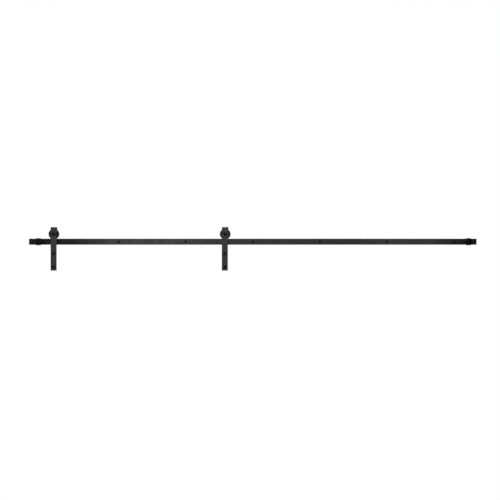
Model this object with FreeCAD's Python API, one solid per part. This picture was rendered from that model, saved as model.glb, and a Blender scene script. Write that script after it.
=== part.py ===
import FreeCAD, Part
import math
import os

# Sliding barn door hardware: a flat rail that stands off a wall on seven spacers, two bent strap
# hangers that roll along it on grooved wheels, and an end stop near each end of the rail.
#
# Frame, in millimetres: +X along the rail, +Y into the wall, +Z up. The origin is on the wall plane,
# at the axis of the middle wall screw, so z = 0 is the rail's centreline and y = 0 is the wall.

Vector = FreeCAD.Vector
ALONG_X = Vector(1, 0, 0)
ALONG_Y = Vector(0, 1, 0)

# ---- driving dimensions: rail and wall fixings ----
RAIL_LENGTH = 3000.0
RAIL_HEIGHT = 40.0
RAIL_THICKNESS = 6.0
RAIL_EDGE_ROUND = 0.8
WALL_GAP = 35.0  # from the wall to the back of the rail, the spacers' length
FIXING_COUNT = 7
FIXING_FROM_END = 150.0  # first and last fixing, from the rail's ends
SPACER_DIAMETER = 22.0
SPACER_CHAMFER = 0.8
WALL_SCREW_DIAMETER = 8.0
WALL_SCREW_THREAD_DIAMETER = 7.5
WALL_SCREW_GRIP = 47.4  # length of thread in the wall
WALL_SCREW_POINT = 7.0
WALL_SCREW_TIP_RADIUS = 0.6
WALL_SCREW_HEAD_FLATS = 13.0
WALL_SCREW_HEAD_HEIGHT = 5.3
WALL_WASHER_DIAMETER = 16.0
WALL_WASHER_THICKNESS = 1.6

# ---- driving dimensions: wheel and its bearing ----
WHEEL_RADIUS = 35.0  # over the flanges
WHEEL_WIDTH = 24.0
FLANGE_DEPTH = 4.25  # how far the flanges reach past the tread
FLANGE_CHAMFER = 1.5
GROOVE_FLARE = 1.75  # how much wider each side of the groove is at its mouth
RIM_WALL = 3.75
HUB_WALL = 4.5
FACE_RECESS = 3.0  # depth of the ring-shaped recess in each face of the wheel
WHEEL_EDGE_ROUND = 0.5
BEARING_BORE = 12.0
BEARING_DIAMETER = 32.0
BEARING_WIDTH = 10.0
BEARING_SHOULDER = 1.5
BALL_DIAMETER = 6.0
BALL_COUNT = 7
RACE_LAND = 2.4  # from the ball circle to each race's land
CAGE_HALF_THICKNESS = 0.8
CAGE_RIM = 0.6  # metal beside each ball, on each side
SEAL_THICKNESS = 0.8
SEAL_INSET = 0.2
CIRCLIP_THICKNESS = 1.2
CIRCLIP_BITE = 0.8  # how deep it sits in the wheel
CIRCLIP_RING = 2.4
CIRCLIP_GAP_DEG = 50.0

# ---- driving dimensions: hanger ----
LEFT_HANGER_FROM_END = 167.0  # axle of the left hanger, from the rail's left end
HANGER_SPACING = 1148.0
STRAP_WIDTH = 40.0
STRAP_THICKNESS = 5.0
STRAP_EDGE_ROUND = 0.7
STRAP_CORNER = 2.0
WHEEL_SIDE_GAP = 2.5  # between each face of the wheel and its strap leg
BEND_BELOW_WHEEL_TOP = 7.0  # centre of the strap's bend, below the top of the wheel
AXLE_TO_UPPER_BOLT = 129.5
DOOR_BOLT_SPACING = 88.0
BOLT_TO_STRAP_END = 25.0
DOOR_THICKNESS = 40.0
AXLE_HEAD_FLATS = 19.0
AXLE_HEAD_HEIGHT = 7.5
AXLE_NUT_HEIGHT = 7.0
AXLE_WASHER_DIAMETER = 24.0
AXLE_WASHER_THICKNESS = 2.5
AXLE_SLEEVE_WALL = 2.4
AXLE_END = 1.5  # how far the axle bolt stands out of its nut
DOOR_BOLT_DIAMETER = 10.0
DOOR_BOLT_NECK_DIAMETER = 10.6
DOOR_BOLT_THREAD_DIAMETER = 9.7
DOOR_BOLT_HEAD_FLATS = 17.0
DOOR_BOLT_HEAD_HEIGHT = 6.4
DOOR_NUT_HEIGHT = 8.0
DOOR_WASHER_DIAMETER = 21.0
DOOR_WASHER_THICKNESS = 2.0
BOLT_POINT_CHAMFER = 1.0
HEX_CROWN_SHARE = 0.47  # radius where a hexagon's corner bevels start, as a share of its flats
HEX_BEVEL_DEG = 30.0
AXLE_HEAD_TURN_DEG = 18.0  # one corner of the hexagon, from +X
AXLE_NUT_TURN_DEG = 41.0
HAND_TURN_DEG = 37.0  # from each wall screw's or door bolt's resting angle to the next one's
FIRST_HAND_TURN_DEG = 11.0
HEXAGON_SECTOR_DEG = 60.0

# ---- driving dimensions: end stops ----
LEFT_STOP_FROM_END = 63.3  # centre of the stop's body, from the rail's end
RIGHT_STOP_FROM_END = 53.0
STOP_WIDTH = 30.5
STOP_LIP = 3.2  # wall above and below the rail
STOP_FRONT_WALL = 18.8
STOP_BACK_WALL = 6.8
STOP_EDGE_ROUND = 2.0
BUFFER_DIAMETER = 18.0
BUFFER_LENGTH = 10.0
BUFFER_TIP_ROUND = 1.2
BUFFER_PLUG_DIAMETER = 9.0
BUFFER_PLUG_LENGTH = 7.0
BUFFER_TO_RAIL = 1.0
STOP_SCREW_DIAMETER = 8.0
STOP_SCREW_FLANGE_DIAMETER = 17.5
STOP_SCREW_FLANGE_THICKNESS = 1.4
STOP_SCREW_DOME_DIAMETER = 14.0
STOP_SCREW_DOME_HEIGHT = 2.9
STOP_SCREW_DOME_ROUND = 2.4
STOP_SCREW_SOCKET_FLATS = 5.0
STOP_SCREW_SOCKET_DEPTH = 2.6
STOP_SCREW_SOCKET_TURN_DEG = 12.0

# ---- clearances ----
SCREW_HOLE_GAP = 0.5  # radial, a wall screw in the rail and in its spacer
WASHER_GAP = 0.3  # radial, a washer on its bolt
NUT_GAP = 0.05  # radial, a nut on the plain cylinder that stands for a thread
TREAD_GAP = 0.1  # between the wheel's tread and the top of the rail
GROOVE_SIDE_GAP = 1.0  # between the rail and each side of the groove
AXLE_FIT = 0.02  # radial, the axle bolt in the bearing
AXLE_HOLE_GAP = 0.25  # radial, the axle bolt in the strap
SLEEVE_GAP = 0.1  # radial, the sleeves on the axle bolt
BALL_FIT = 0.03  # radial, balls in their grooves
CAGE_FIT = 0.08  # radial, balls in the cage
SEAL_GAP = 0.1  # radial, the seals off the inner race
CIRCLIP_FIT = 0.05
DOOR_HOLE_GAP = 0.2  # radial, the door bolt's neck in the strap
STOP_FIT = 0.3  # the stop's slot round the rail, each side
STOP_THREAD_GAP = 0.05  # radial, the stop's screw in its tapped hole
BUFFER_PLUG_GAP = 0.05  # radial, the buffer's plug in its hole

# ---- worked out from the values above ----
RAIL_BACK = -WALL_GAP
RAIL_FRONT = RAIL_BACK - RAIL_THICKNESS
TRACK_PLANE = (RAIL_BACK + RAIL_FRONT) / 2
RAIL_TOP = RAIL_HEIGHT / 2
FIXING_PITCH = (RAIL_LENGTH - 2 * FIXING_FROM_END) / (FIXING_COUNT - 1)
TREAD_RADIUS = WHEEL_RADIUS - FLANGE_DEPTH
AXLE_HEIGHT = RAIL_TOP + TREAD_GAP + TREAD_RADIUS
BALL_CIRCLE = (BEARING_BORE + BEARING_DIAMETER) / 4
INNER_LAND = BALL_CIRCLE - RACE_LAND
OUTER_LAND = BALL_CIRCLE + RACE_LAND
LEG_GAP = WHEEL_WIDTH + 2 * WHEEL_SIDE_GAP
FRONT_LEG_BACK = TRACK_PLANE - LEG_GAP / 2
FRONT_LEG_FACE = FRONT_LEG_BACK - STRAP_THICKNESS
REAR_LEG_FRONT = TRACK_PLANE + LEG_GAP / 2
REAR_LEG_BACK = REAR_LEG_FRONT + STRAP_THICKNESS
BEND_HEIGHT = AXLE_HEIGHT + WHEEL_RADIUS - BEND_BELOW_WHEEL_TOP
UPPER_BOLT_HEIGHT = AXLE_HEIGHT - AXLE_TO_UPPER_BOLT
LOWER_BOLT_HEIGHT = UPPER_BOLT_HEIGHT - DOOR_BOLT_SPACING
STRAP_END_HEIGHT = LOWER_BOLT_HEIGHT - BOLT_TO_STRAP_END
DOOR_BACK = FRONT_LEG_BACK + DOOR_THICKNESS
DOOR_WASHER_FRONT = DOOR_BACK - DOOR_NUT_HEIGHT - DOOR_WASHER_THICKNESS
AXLE_RADIUS = BEARING_BORE / 2 - AXLE_FIT
HANGERS = {
    "left": -RAIL_LENGTH / 2 + LEFT_HANGER_FROM_END,
    "right": -RAIL_LENGTH / 2 + LEFT_HANGER_FROM_END + HANGER_SPACING,
}
# Each stop: its centre along the rail, and the way its buffer faces.
STOPS = {
    "left": (-RAIL_LENGTH / 2 + LEFT_STOP_FROM_END, 1),
    "right": (RAIL_LENGTH / 2 - RIGHT_STOP_FROM_END, -1),
}
STOP_SLOT_HEIGHT = RAIL_HEIGHT + 2 * STOP_FIT
STOP_HEIGHT = STOP_SLOT_HEIGHT + 2 * STOP_LIP
STOP_FACE = RAIL_FRONT - STOP_FIT - STOP_FRONT_WALL
STOP_BACK = RAIL_BACK + STOP_FIT + STOP_BACK_WALL
BUFFER_CENTRE_Y = RAIL_FRONT - BUFFER_TO_RAIL - BUFFER_DIAMETER / 2


# ---- helpers ----
def rod(radius, y_from, y_to, x=0.0, z=0.0):
    """A cylinder along Y."""
    return Part.makeCylinder(radius, y_to - y_from, Vector(x, y_from, z), ALONG_Y)


def tube(outer, inner, y_from, y_to, x=0.0, z=0.0):
    """A tube along Y."""
    return rod(outer, y_from, y_to, x, z).cut(rod(inner, y_from, y_to, x, z))


def block(low, high):
    """A box between two corners."""
    size = high - low
    return Part.makeBox(size.x, size.y, size.z, low)


def turned(outline):
    """A solid of revolution about the Y axis. The outline is a closed run of (radius, y) points."""
    points = [Vector(radius, y, 0) for radius, y in outline]
    face = Part.Face(Part.makePolygon(points + points[:1]))
    return face.revolve(Vector(0, 0, 0), ALONG_Y, 360)


def hexagon(flats, y_from, y_to, turn_deg=0.0):
    """A hexagonal prism along the Y axis, one corner turned turn_deg from +X."""
    corner = flats / math.sqrt(3)
    angles = [math.radians(turn_deg + HEXAGON_SECTOR_DEG * i) for i in range(6)]
    points = [Vector(corner * math.cos(a), y_from, corner * math.sin(a)) for a in angles]
    face = Part.Face(Part.makePolygon(points + points[:1]))
    return face.extrude(Vector(0, y_to - y_from, 0))


def hex_body(flats, y_outer, y_seat, turn_deg, both_ends=False):
    """A bolt head or nut along Y, its corners bevelled at y_outer, and at y_seat too if both_ends."""
    corner = flats / math.sqrt(3)
    crown = flats * HEX_CROWN_SHARE
    fall = (corner - crown) * math.tan(math.radians(HEX_BEVEL_DEG))
    inward = math.copysign(fall, y_seat - y_outer)
    seat_crown = crown if both_ends else corner
    outline = [(0, y_outer), (crown, y_outer), (corner, y_outer + inward)]
    outline += [(corner, y_seat - inward), (seat_crown, y_seat), (0, y_seat)]
    low, high = min(y_outer, y_seat), max(y_outer, y_seat)
    return hexagon(flats, low, high, turn_deg).common(turned(outline))


def rounded(solid, radius, wanted):
    """The solid with each edge that wanted() picks rounded."""
    return solid.makeFillet(radius, [edge for edge in solid.Edges if wanted(edge)])


def runs_along(edge, axis):
    """True for a straight edge parallel to the axis."""
    if not isinstance(edge.Curve, Part.Line):
        return False
    return abs(edge.Curve.Direction.dot(axis)) > 0.999


def at(shape, x, z):
    """A copy of a shape built round the Y axis, moved to a place on the track."""
    placed = shape.copy()
    placed.translate(Vector(x, 0, z))
    return placed


# ---- rail and wall fixings ----
def fixing_places():
    """Where the wall screws are along the rail."""
    first = -RAIL_LENGTH / 2 + FIXING_FROM_END
    return [first + FIXING_PITCH * i for i in range(FIXING_COUNT)]


def screw_turn(index):
    """A different resting angle for each hexagon, as hand-driven screws have."""
    return (HAND_TURN_DEG * index + FIRST_HAND_TURN_DEG) % HEXAGON_SECTOR_DEG


def rail():
    half = RAIL_LENGTH / 2
    bar = block(Vector(-half, RAIL_FRONT, -RAIL_TOP), Vector(half, RAIL_BACK, RAIL_TOP))
    bar = rounded(bar, RAIL_EDGE_ROUND, lambda edge: runs_along(edge, ALONG_X))
    hole = WALL_SCREW_DIAMETER / 2 + SCREW_HOLE_GAP
    for x in fixing_places():
        bar = bar.cut(rod(hole, RAIL_FRONT, RAIL_BACK, x))
    return bar


def spacer(x):
    outer, bore = SPACER_DIAMETER / 2, WALL_SCREW_DIAMETER / 2 + SCREW_HOLE_GAP
    edge = outer - SPACER_CHAMFER
    outline = [(bore, RAIL_BACK), (edge, RAIL_BACK), (outer, RAIL_BACK + SPACER_CHAMFER)]
    outline += [(outer, -SPACER_CHAMFER), (edge, 0), (bore, 0)]
    return at(turned(outline), x, 0)


def wall_screw(x, turn_deg):
    seat = RAIL_FRONT - WALL_WASHER_THICKNESS
    head = hex_body(WALL_SCREW_HEAD_FLATS, seat - WALL_SCREW_HEAD_HEIGHT, seat, turn_deg)
    thread, tip = WALL_SCREW_THREAD_DIAMETER / 2, WALL_SCREW_TIP_RADIUS
    outline = [(0, seat), (WALL_SCREW_DIAMETER / 2, seat), (WALL_SCREW_DIAMETER / 2, 0)]
    outline += [(thread, 0), (thread, WALL_SCREW_GRIP - WALL_SCREW_POINT)]
    outline += [(tip, WALL_SCREW_GRIP), (0, WALL_SCREW_GRIP)]
    return at(head.fuse(turned(outline)), x, 0)


def wall_washer(x):
    bore = WALL_SCREW_DIAMETER / 2 + WASHER_GAP
    return tube(WALL_WASHER_DIAMETER / 2, bore, RAIL_FRONT - WALL_WASHER_THICKNESS, RAIL_FRONT, x)


def track_nodes():
    places = fixing_places()
    nodes = {"rail": rail()}
    for i, x in enumerate(places):
        nodes[f"wall_spacer_{i + 1}"] = spacer(x)
    screws = [wall_screw(x, screw_turn(i)) for i, x in enumerate(places)]
    nodes["wall_screws"] = Part.makeCompound(screws)
    nodes["wall_screw_washers"] = Part.makeCompound([wall_washer(x) for x in places])
    return nodes


# ---- wheel and bearing, built round the Y axis with the wheel's middle at TRACK_PLANE ----
def wheel():
    half, seat = WHEEL_WIDTH / 2, BEARING_DIAMETER / 2
    shoulder, hub = seat - BEARING_SHOULDER, seat + HUB_WALL
    rim, web = TREAD_RADIUS - RIM_WALL, half - FACE_RECESS
    tread_side = RAIL_THICKNESS / 2 + GROOVE_SIDE_GAP
    mouth = tread_side + GROOVE_FLARE
    flange, bevel = WHEEL_RADIUS, FLANGE_CHAMFER
    clip_back = -BEARING_WIDTH / 2
    clip_front = clip_back - CIRCLIP_THICKNESS - CIRCLIP_FIT
    front_face = [(seat, -half), (hub, -half), (hub, -web), (rim, -web), (rim, -half)]
    front_flange = [(flange - bevel, -half), (flange, -half + bevel), (flange, -mouth)]
    tread = [(TREAD_RADIUS, -tread_side), (TREAD_RADIUS, tread_side)]
    rear_flange = [(flange, mouth), (flange, half - bevel), (flange - bevel, half)]
    rear_face = [(rim, half), (rim, web), (hub, web), (hub, half), (shoulder, half)]
    bore = [(shoulder, BEARING_WIDTH / 2), (seat, BEARING_WIDTH / 2), (seat, clip_back)]
    clip = [(seat + CIRCLIP_BITE, clip_back), (seat + CIRCLIP_BITE, clip_front), (seat, clip_front)]
    body = turned(front_face + front_flange + tread + rear_flange + rear_face + bore + clip)
    # The hub's and rim's outer edges and the flanges' crowns are eased, as on a moulding.
    eased = {(hub, half), (rim, half), (flange, mouth), (flange, half - bevel)}

    def is_eased(edge):
        if not isinstance(edge.Curve, Part.Circle):
            return False
        ring = (edge.Curve.Radius, abs(edge.Curve.Center.y))
        return any(math.dist(ring, place) < 1e-4 for place in eased)

    body = rounded(body, WHEEL_EDGE_ROUND, is_eased)
    body.translate(Vector(0, TRACK_PLANE, 0))
    return body


def ball_grooves():
    """The ring that the balls run in, a little larger than the balls."""
    middle = Vector(0, TRACK_PLANE, 0)
    return Part.makeTorus(BALL_CIRCLE, BALL_DIAMETER / 2 + BALL_FIT, middle, ALONG_Y)


def race(outer, inner):
    half = BEARING_WIDTH / 2
    return tube(outer, inner, TRACK_PLANE - half, TRACK_PLANE + half).cut(ball_grooves())


def ball_centres():
    angles = [2 * math.pi * i / BALL_COUNT for i in range(BALL_COUNT)]
    places = [(BALL_CIRCLE * math.cos(a), BALL_CIRCLE * math.sin(a)) for a in angles]
    return [Vector(x, TRACK_PLANE, z) for x, z in places]


def balls():
    return Part.makeCompound([Part.makeSphere(BALL_DIAMETER / 2, c) for c in ball_centres()])


def cage():
    """One ring with a round pocket drilled through it for each ball."""
    inner, outer = BALL_CIRCLE - CAGE_HALF_THICKNESS, BALL_CIRCLE + CAGE_HALF_THICKNESS
    pocket = BALL_DIAMETER / 2 + CAGE_FIT
    side = pocket + CAGE_RIM
    ring = tube(outer, inner, TRACK_PLANE - side, TRACK_PLANE + side)
    middle = Vector(0, TRACK_PLANE, 0)
    for centre in ball_centres():
        outward = (centre - middle).normalize()
        start = centre - outward * BALL_DIAMETER / 2
        ring = ring.cut(Part.makeCylinder(pocket, BALL_DIAMETER, start, outward))
    return ring


def seals():
    outer, inner = OUTER_LAND, INNER_LAND + SEAL_GAP
    rings = []
    for side in (-1, 1):
        outside = TRACK_PLANE + side * (BEARING_WIDTH / 2 - SEAL_INSET)
        inside = outside - side * SEAL_THICKNESS
        rings.append(tube(outer, inner, min(inside, outside), max(inside, outside)))
    return Part.makeCompound(rings)


def circlip():
    outer = BEARING_DIAMETER / 2 + CIRCLIP_BITE - CIRCLIP_FIT
    back = TRACK_PLANE - BEARING_WIDTH / 2
    ring = tube(outer, outer - CIRCLIP_RING, back - CIRCLIP_THICKNESS, back)
    start = Vector(0, back - CIRCLIP_THICKNESS, 0)
    wedge = Part.makeCylinder(outer, CIRCLIP_THICKNESS, start, ALONG_Y, CIRCLIP_GAP_DEG)
    return ring.cut(wedge)


# ---- strap and its fasteners ----
def strap_outline():
    """The bent strap seen from the side: up the front leg, over the bend and down the rear leg."""
    outer, inner = LEG_GAP / 2 + STRAP_THICKNESS, LEG_GAP / 2
    bottom, rear_end = STRAP_END_HEIGHT, AXLE_HEIGHT - STRAP_WIDTH / 2

    def point(y, z):
        return Vector(0, y, z)

    def bend(radius):
        front, rear = TRACK_PLANE - radius, TRACK_PLANE + radius
        top = point(TRACK_PLANE, BEND_HEIGHT + radius)
        return Part.Arc(point(front, BEND_HEIGHT), top, point(rear, BEND_HEIGHT)).toShape()

    def line(start, end):
        return Part.LineSegment(start, end).toShape()

    edges = [
        line(point(FRONT_LEG_FACE, bottom), point(FRONT_LEG_FACE, BEND_HEIGHT)),
        bend(outer),
        line(point(REAR_LEG_BACK, BEND_HEIGHT), point(REAR_LEG_BACK, rear_end)),
        line(point(REAR_LEG_BACK, rear_end), point(REAR_LEG_FRONT, rear_end)),
        line(point(REAR_LEG_FRONT, rear_end), point(REAR_LEG_FRONT, BEND_HEIGHT)),
        bend(inner),
        line(point(FRONT_LEG_BACK, BEND_HEIGHT), point(FRONT_LEG_BACK, bottom)),
        line(point(FRONT_LEG_BACK, bottom), point(FRONT_LEG_FACE, bottom)),
    ]
    return Part.Face(Part.Wire(Part.__sortEdges__(edges)))


def rear_end_trim():
    """What is cut off the rear leg so that it ends in a half circle round the axle."""
    half = STRAP_WIDTH / 2
    low = Vector(-half, REAR_LEG_FRONT, AXLE_HEIGHT - half)
    square = block(low, Vector(half, REAR_LEG_BACK, AXLE_HEIGHT))
    return square.cut(rod(half, REAR_LEG_FRONT, REAR_LEG_BACK, 0, AXLE_HEIGHT))


def strap():
    half = STRAP_WIDTH / 2
    body = strap_outline().extrude(Vector(STRAP_WIDTH, 0, 0))
    body.translate(Vector(-half, 0, 0))
    body = body.cut(rear_end_trim())
    lowest = STRAP_END_HEIGHT

    def is_bottom_corner(edge):
        return runs_along(edge, ALONG_Y) and abs(edge.CenterOfMass.z - lowest) < 1e-6

    body = rounded(body, STRAP_CORNER, is_bottom_corner)

    def is_long_edge(edge):
        on_side = abs(abs(edge.CenterOfMass.x) - half) < 1e-6
        return on_side and edge.Length > 2 * STRAP_THICKNESS

    body = rounded(body, STRAP_EDGE_ROUND, is_long_edge)
    axle_hole = BEARING_BORE / 2 + AXLE_HOLE_GAP
    body = body.cut(rod(axle_hole, FRONT_LEG_FACE, REAR_LEG_BACK, 0, AXLE_HEIGHT))
    door_hole = DOOR_BOLT_NECK_DIAMETER / 2 + DOOR_HOLE_GAP
    for z in (UPPER_BOLT_HEIGHT, LOWER_BOLT_HEIGHT):
        body = body.cut(rod(door_hole, FRONT_LEG_FACE, FRONT_LEG_BACK, 0, z))
    return body


def axle_bolt():
    end = REAR_LEG_BACK + AXLE_WASHER_THICKNESS + AXLE_NUT_HEIGHT + AXLE_END
    crown = FRONT_LEG_FACE - AXLE_HEAD_HEIGHT
    head = hex_body(AXLE_HEAD_FLATS, crown, FRONT_LEG_FACE, AXLE_HEAD_TURN_DEG)
    tip = AXLE_RADIUS - BOLT_POINT_CHAMFER
    outline = [(0, FRONT_LEG_FACE), (AXLE_RADIUS, FRONT_LEG_FACE)]
    outline += [(AXLE_RADIUS, end - BOLT_POINT_CHAMFER), (tip, end), (0, end)]
    return head.fuse(turned(outline))


def axle_washer():
    bore = AXLE_RADIUS + WASHER_GAP
    return tube(AXLE_WASHER_DIAMETER / 2, bore, REAR_LEG_BACK, REAR_LEG_BACK + AXLE_WASHER_THICKNESS)


def axle_nut():
    seat = REAR_LEG_BACK + AXLE_WASHER_THICKNESS
    outer = seat + AXLE_NUT_HEIGHT
    body = hex_body(AXLE_HEAD_FLATS, outer, seat, AXLE_NUT_TURN_DEG, both_ends=True)
    return body.cut(rod(AXLE_RADIUS + NUT_GAP, seat, outer))


def axle_sleeves():
    bore = AXLE_RADIUS + SLEEVE_GAP
    outer, half = bore + AXLE_SLEEVE_WALL, BEARING_WIDTH / 2
    front = tube(outer, bore, FRONT_LEG_BACK, TRACK_PLANE - half)
    return Part.makeCompound([front, tube(outer, bore, TRACK_PLANE + half, REAR_LEG_FRONT)])


def door_bolt(turn_deg):
    crown = FRONT_LEG_FACE - DOOR_BOLT_HEAD_HEIGHT
    head = hex_body(DOOR_BOLT_HEAD_FLATS, crown, FRONT_LEG_FACE, turn_deg)
    neck, shank = DOOR_BOLT_NECK_DIAMETER / 2, DOOR_BOLT_DIAMETER / 2
    thread, bevel = DOOR_BOLT_THREAD_DIAMETER / 2, BOLT_POINT_CHAMFER
    outline = [(0, FRONT_LEG_FACE), (neck, FRONT_LEG_FACE), (neck, FRONT_LEG_BACK)]
    outline += [(shank, FRONT_LEG_BACK), (shank, DOOR_WASHER_FRONT), (thread, DOOR_WASHER_FRONT)]
    outline += [(thread, DOOR_BACK - bevel), (thread - bevel, DOOR_BACK), (0, DOOR_BACK)]
    return head.fuse(turned(outline))


def door_washer():
    outer, bore = DOOR_WASHER_DIAMETER / 2, DOOR_BOLT_DIAMETER / 2 + WASHER_GAP
    return tube(outer, bore, DOOR_WASHER_FRONT, DOOR_WASHER_FRONT + DOOR_WASHER_THICKNESS)


def door_nut(turn_deg):
    seat = DOOR_WASHER_FRONT + DOOR_WASHER_THICKNESS
    body = hex_body(DOOR_BOLT_HEAD_FLATS, DOOR_BACK, seat, turn_deg, both_ends=True)
    return body.cut(rod(DOOR_BOLT_THREAD_DIAMETER / 2 + NUT_GAP, seat, DOOR_BACK))


def hanger_nodes(side, x):
    """One hanger's pieces: the strap with its axle and door bolts, and the wheel on its bearing."""
    on_axle = {
        "wheel": wheel(),
        "axle_bolt": axle_bolt(),
        "axle_washer": axle_washer(),
        "axle_nut": axle_nut(),
        "axle_sleeves": axle_sleeves(),
        "bearing_inner_race": race(INNER_LAND, BEARING_BORE / 2),
        "bearing_outer_race": race(BEARING_DIAMETER / 2, OUTER_LAND),
        "bearing_balls": balls(),
        "bearing_cage": cage(),
        "bearing_seals": seals(),
        "wheel_circlip": circlip(),
    }
    nodes = {f"{side}_{name}": at(shape, x, AXLE_HEIGHT) for name, shape in on_axle.items()}
    nodes[f"{side}_strap"] = at(strap(), x, 0)
    heights = (UPPER_BOLT_HEIGHT, LOWER_BOLT_HEIGHT)
    bolts = [at(door_bolt(screw_turn(i + 3)), x, z) for i, z in enumerate(heights)]
    nuts = [at(door_nut(screw_turn(i + 8)), x, z) for i, z in enumerate(heights)]
    nodes[f"{side}_door_bolts"] = Part.makeCompound(bolts)
    nodes[f"{side}_door_washers"] = Part.makeCompound([at(door_washer(), x, z) for z in heights])
    nodes[f"{side}_door_nuts"] = Part.makeCompound(nuts)
    return nodes


# ---- end stops ----
def stop_body(x, facing):
    half, half_height = STOP_WIDTH / 2, STOP_HEIGHT / 2
    low, high = Vector(x - half, STOP_FACE, -half_height), Vector(x + half, STOP_BACK, half_height)
    body = block(low, high)
    body = rounded(body, STOP_EDGE_ROUND, lambda edge: True)
    slot_low = Vector(x - half, RAIL_FRONT - STOP_FIT, -STOP_SLOT_HEIGHT / 2)
    slot_high = Vector(x + half, RAIL_BACK + STOP_FIT, STOP_SLOT_HEIGHT / 2)
    body = body.cut(block(slot_low, slot_high))
    tapped = STOP_SCREW_DIAMETER / 2 + STOP_THREAD_GAP
    body = body.cut(rod(tapped, STOP_FACE, RAIL_FRONT, x))
    mouth = Vector(x + facing * half, BUFFER_CENTRE_Y, 0)
    plug_hole = BUFFER_PLUG_DIAMETER / 2 + BUFFER_PLUG_GAP
    return body.cut(Part.makeCylinder(plug_hole, BUFFER_PLUG_LENGTH, mouth, ALONG_X * -facing))


def stop_buffer(x, facing):
    base = Vector(x + facing * STOP_WIDTH / 2, BUFFER_CENTRE_Y, 0)
    outward = ALONG_X * facing
    pad = Part.makeCylinder(BUFFER_DIAMETER / 2, BUFFER_LENGTH, base, outward)
    tip = base + outward * BUFFER_LENGTH

    def is_tip(edge):
        return abs(edge.BoundBox.XMin - tip.x) < 1e-6 and abs(edge.BoundBox.XMax - tip.x) < 1e-6

    pad = rounded(pad, BUFFER_TIP_ROUND, is_tip)
    return pad.fuse(Part.makeCylinder(BUFFER_PLUG_DIAMETER / 2, BUFFER_PLUG_LENGTH, base, -outward))


def stop_screw(x):
    """A flanged dome-head screw with a hexagon socket, its end against the front of the rail."""
    flange, dome = STOP_SCREW_FLANGE_DIAMETER / 2, STOP_SCREW_DOME_DIAMETER / 2
    flange_top = STOP_FACE - STOP_SCREW_FLANGE_THICKNESS
    crown = flange_top - STOP_SCREW_DOME_HEIGHT
    radius, bevel = STOP_SCREW_DIAMETER / 2, BOLT_POINT_CHAMFER
    outline = [(0, crown), (dome, crown), (dome, flange_top), (flange, flange_top)]
    outline += [(flange, STOP_FACE), (radius, STOP_FACE), (radius, RAIL_FRONT - bevel)]
    outline += [(radius - bevel, RAIL_FRONT), (0, RAIL_FRONT)]

    def is_crown_edge(edge):
        return isinstance(edge.Curve, Part.Circle) and abs(edge.Curve.Center.y - crown) < 1e-6

    body = rounded(turned(outline), STOP_SCREW_DOME_ROUND, is_crown_edge)
    floor = crown + STOP_SCREW_SOCKET_DEPTH
    socket = hexagon(STOP_SCREW_SOCKET_FLATS, crown, floor, STOP_SCREW_SOCKET_TURN_DEG)
    return at(body.cut(socket), x, 0)


def stop_nodes(side, x, facing):
    return {
        f"{side}_stop_body": stop_body(x, facing),
        f"{side}_stop_buffer": stop_buffer(x, facing),
        f"{side}_stop_screw": stop_screw(x),
    }


def main():
    nodes = track_nodes()
    for side, x in HANGERS.items():
        nodes.update(hanger_nodes(side, x))
    for side, (x, facing) in STOPS.items():
        nodes.update(stop_nodes(side, x, facing))
    os.makedirs("parts", exist_ok=True)
    for name, shape in nodes.items():
        shape.exportStep(f"parts/{name}.step")
        solids = shape.Solids
        print(f"{name}: {len(solids)} solid(s), valid {shape.isValid()}, {shape.Volume:.1f} mm3")


main()
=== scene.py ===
"""Sliding barn door hardware: detailed pieces and finishes for the rail, hangers and end stops."""
import logging
import math
from collections.abc import Callable, Sequence
from dataclasses import dataclass, field
from enum import Enum

import bmesh
import bpy
from mathutils import Matrix, Vector


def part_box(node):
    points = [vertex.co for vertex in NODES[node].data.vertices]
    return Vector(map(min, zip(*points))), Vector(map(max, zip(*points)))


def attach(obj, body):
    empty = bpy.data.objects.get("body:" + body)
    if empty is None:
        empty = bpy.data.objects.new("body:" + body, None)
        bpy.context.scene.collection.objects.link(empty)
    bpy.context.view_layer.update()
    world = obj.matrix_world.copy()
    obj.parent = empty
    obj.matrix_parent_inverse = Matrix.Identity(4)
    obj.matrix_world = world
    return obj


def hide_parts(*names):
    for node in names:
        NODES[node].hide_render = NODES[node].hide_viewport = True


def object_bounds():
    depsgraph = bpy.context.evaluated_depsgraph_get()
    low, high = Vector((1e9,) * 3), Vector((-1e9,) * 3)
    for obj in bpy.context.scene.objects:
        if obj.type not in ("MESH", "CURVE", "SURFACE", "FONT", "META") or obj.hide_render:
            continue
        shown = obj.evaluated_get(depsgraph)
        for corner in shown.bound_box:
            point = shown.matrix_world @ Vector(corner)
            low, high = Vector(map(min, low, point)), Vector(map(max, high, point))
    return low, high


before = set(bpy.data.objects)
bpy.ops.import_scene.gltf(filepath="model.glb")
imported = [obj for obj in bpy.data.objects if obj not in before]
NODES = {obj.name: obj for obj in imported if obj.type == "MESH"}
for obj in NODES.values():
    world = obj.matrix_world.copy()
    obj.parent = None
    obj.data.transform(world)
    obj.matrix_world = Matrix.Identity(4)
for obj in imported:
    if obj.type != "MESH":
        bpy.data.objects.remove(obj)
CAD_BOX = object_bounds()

log = logging.getLogger("barn_door_hardware")

MM = 0.001
FULL_TURN = 2 * math.pi
HEX_SECTOR = FULL_TURN / 6
WELD = 0.0005 * MM

Measure = float | Callable[[float], float]


class Side(Enum):
    """The two hangers and the two stops, as seen from the room."""

    LEFT = "left"
    RIGHT = "right"


class Slot(Enum):
    """Names of material slots for the new pieces. Nothing in the script reads them."""

    FIXING = "fixing_black"
    FASTENER = "fastener_black"
    NYLON = "wheel_nylon"
    SEAL = "seal_rubber"
    SPRING = "spring_steel"
    BUFFER = "buffer_rubber"


# ---------------------------------------------------------------- mesh making


@dataclass(frozen=True)
class Ring:
    """A ring of points round an axis. Its radius and its place along may change with the angle."""

    radius: Measure
    along: Measure


@dataclass(frozen=True)
class Corner:
    """One corner of a turned outline, rounded to the radius given in round."""

    radius: float
    along: float
    round: float = 0.0


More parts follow.
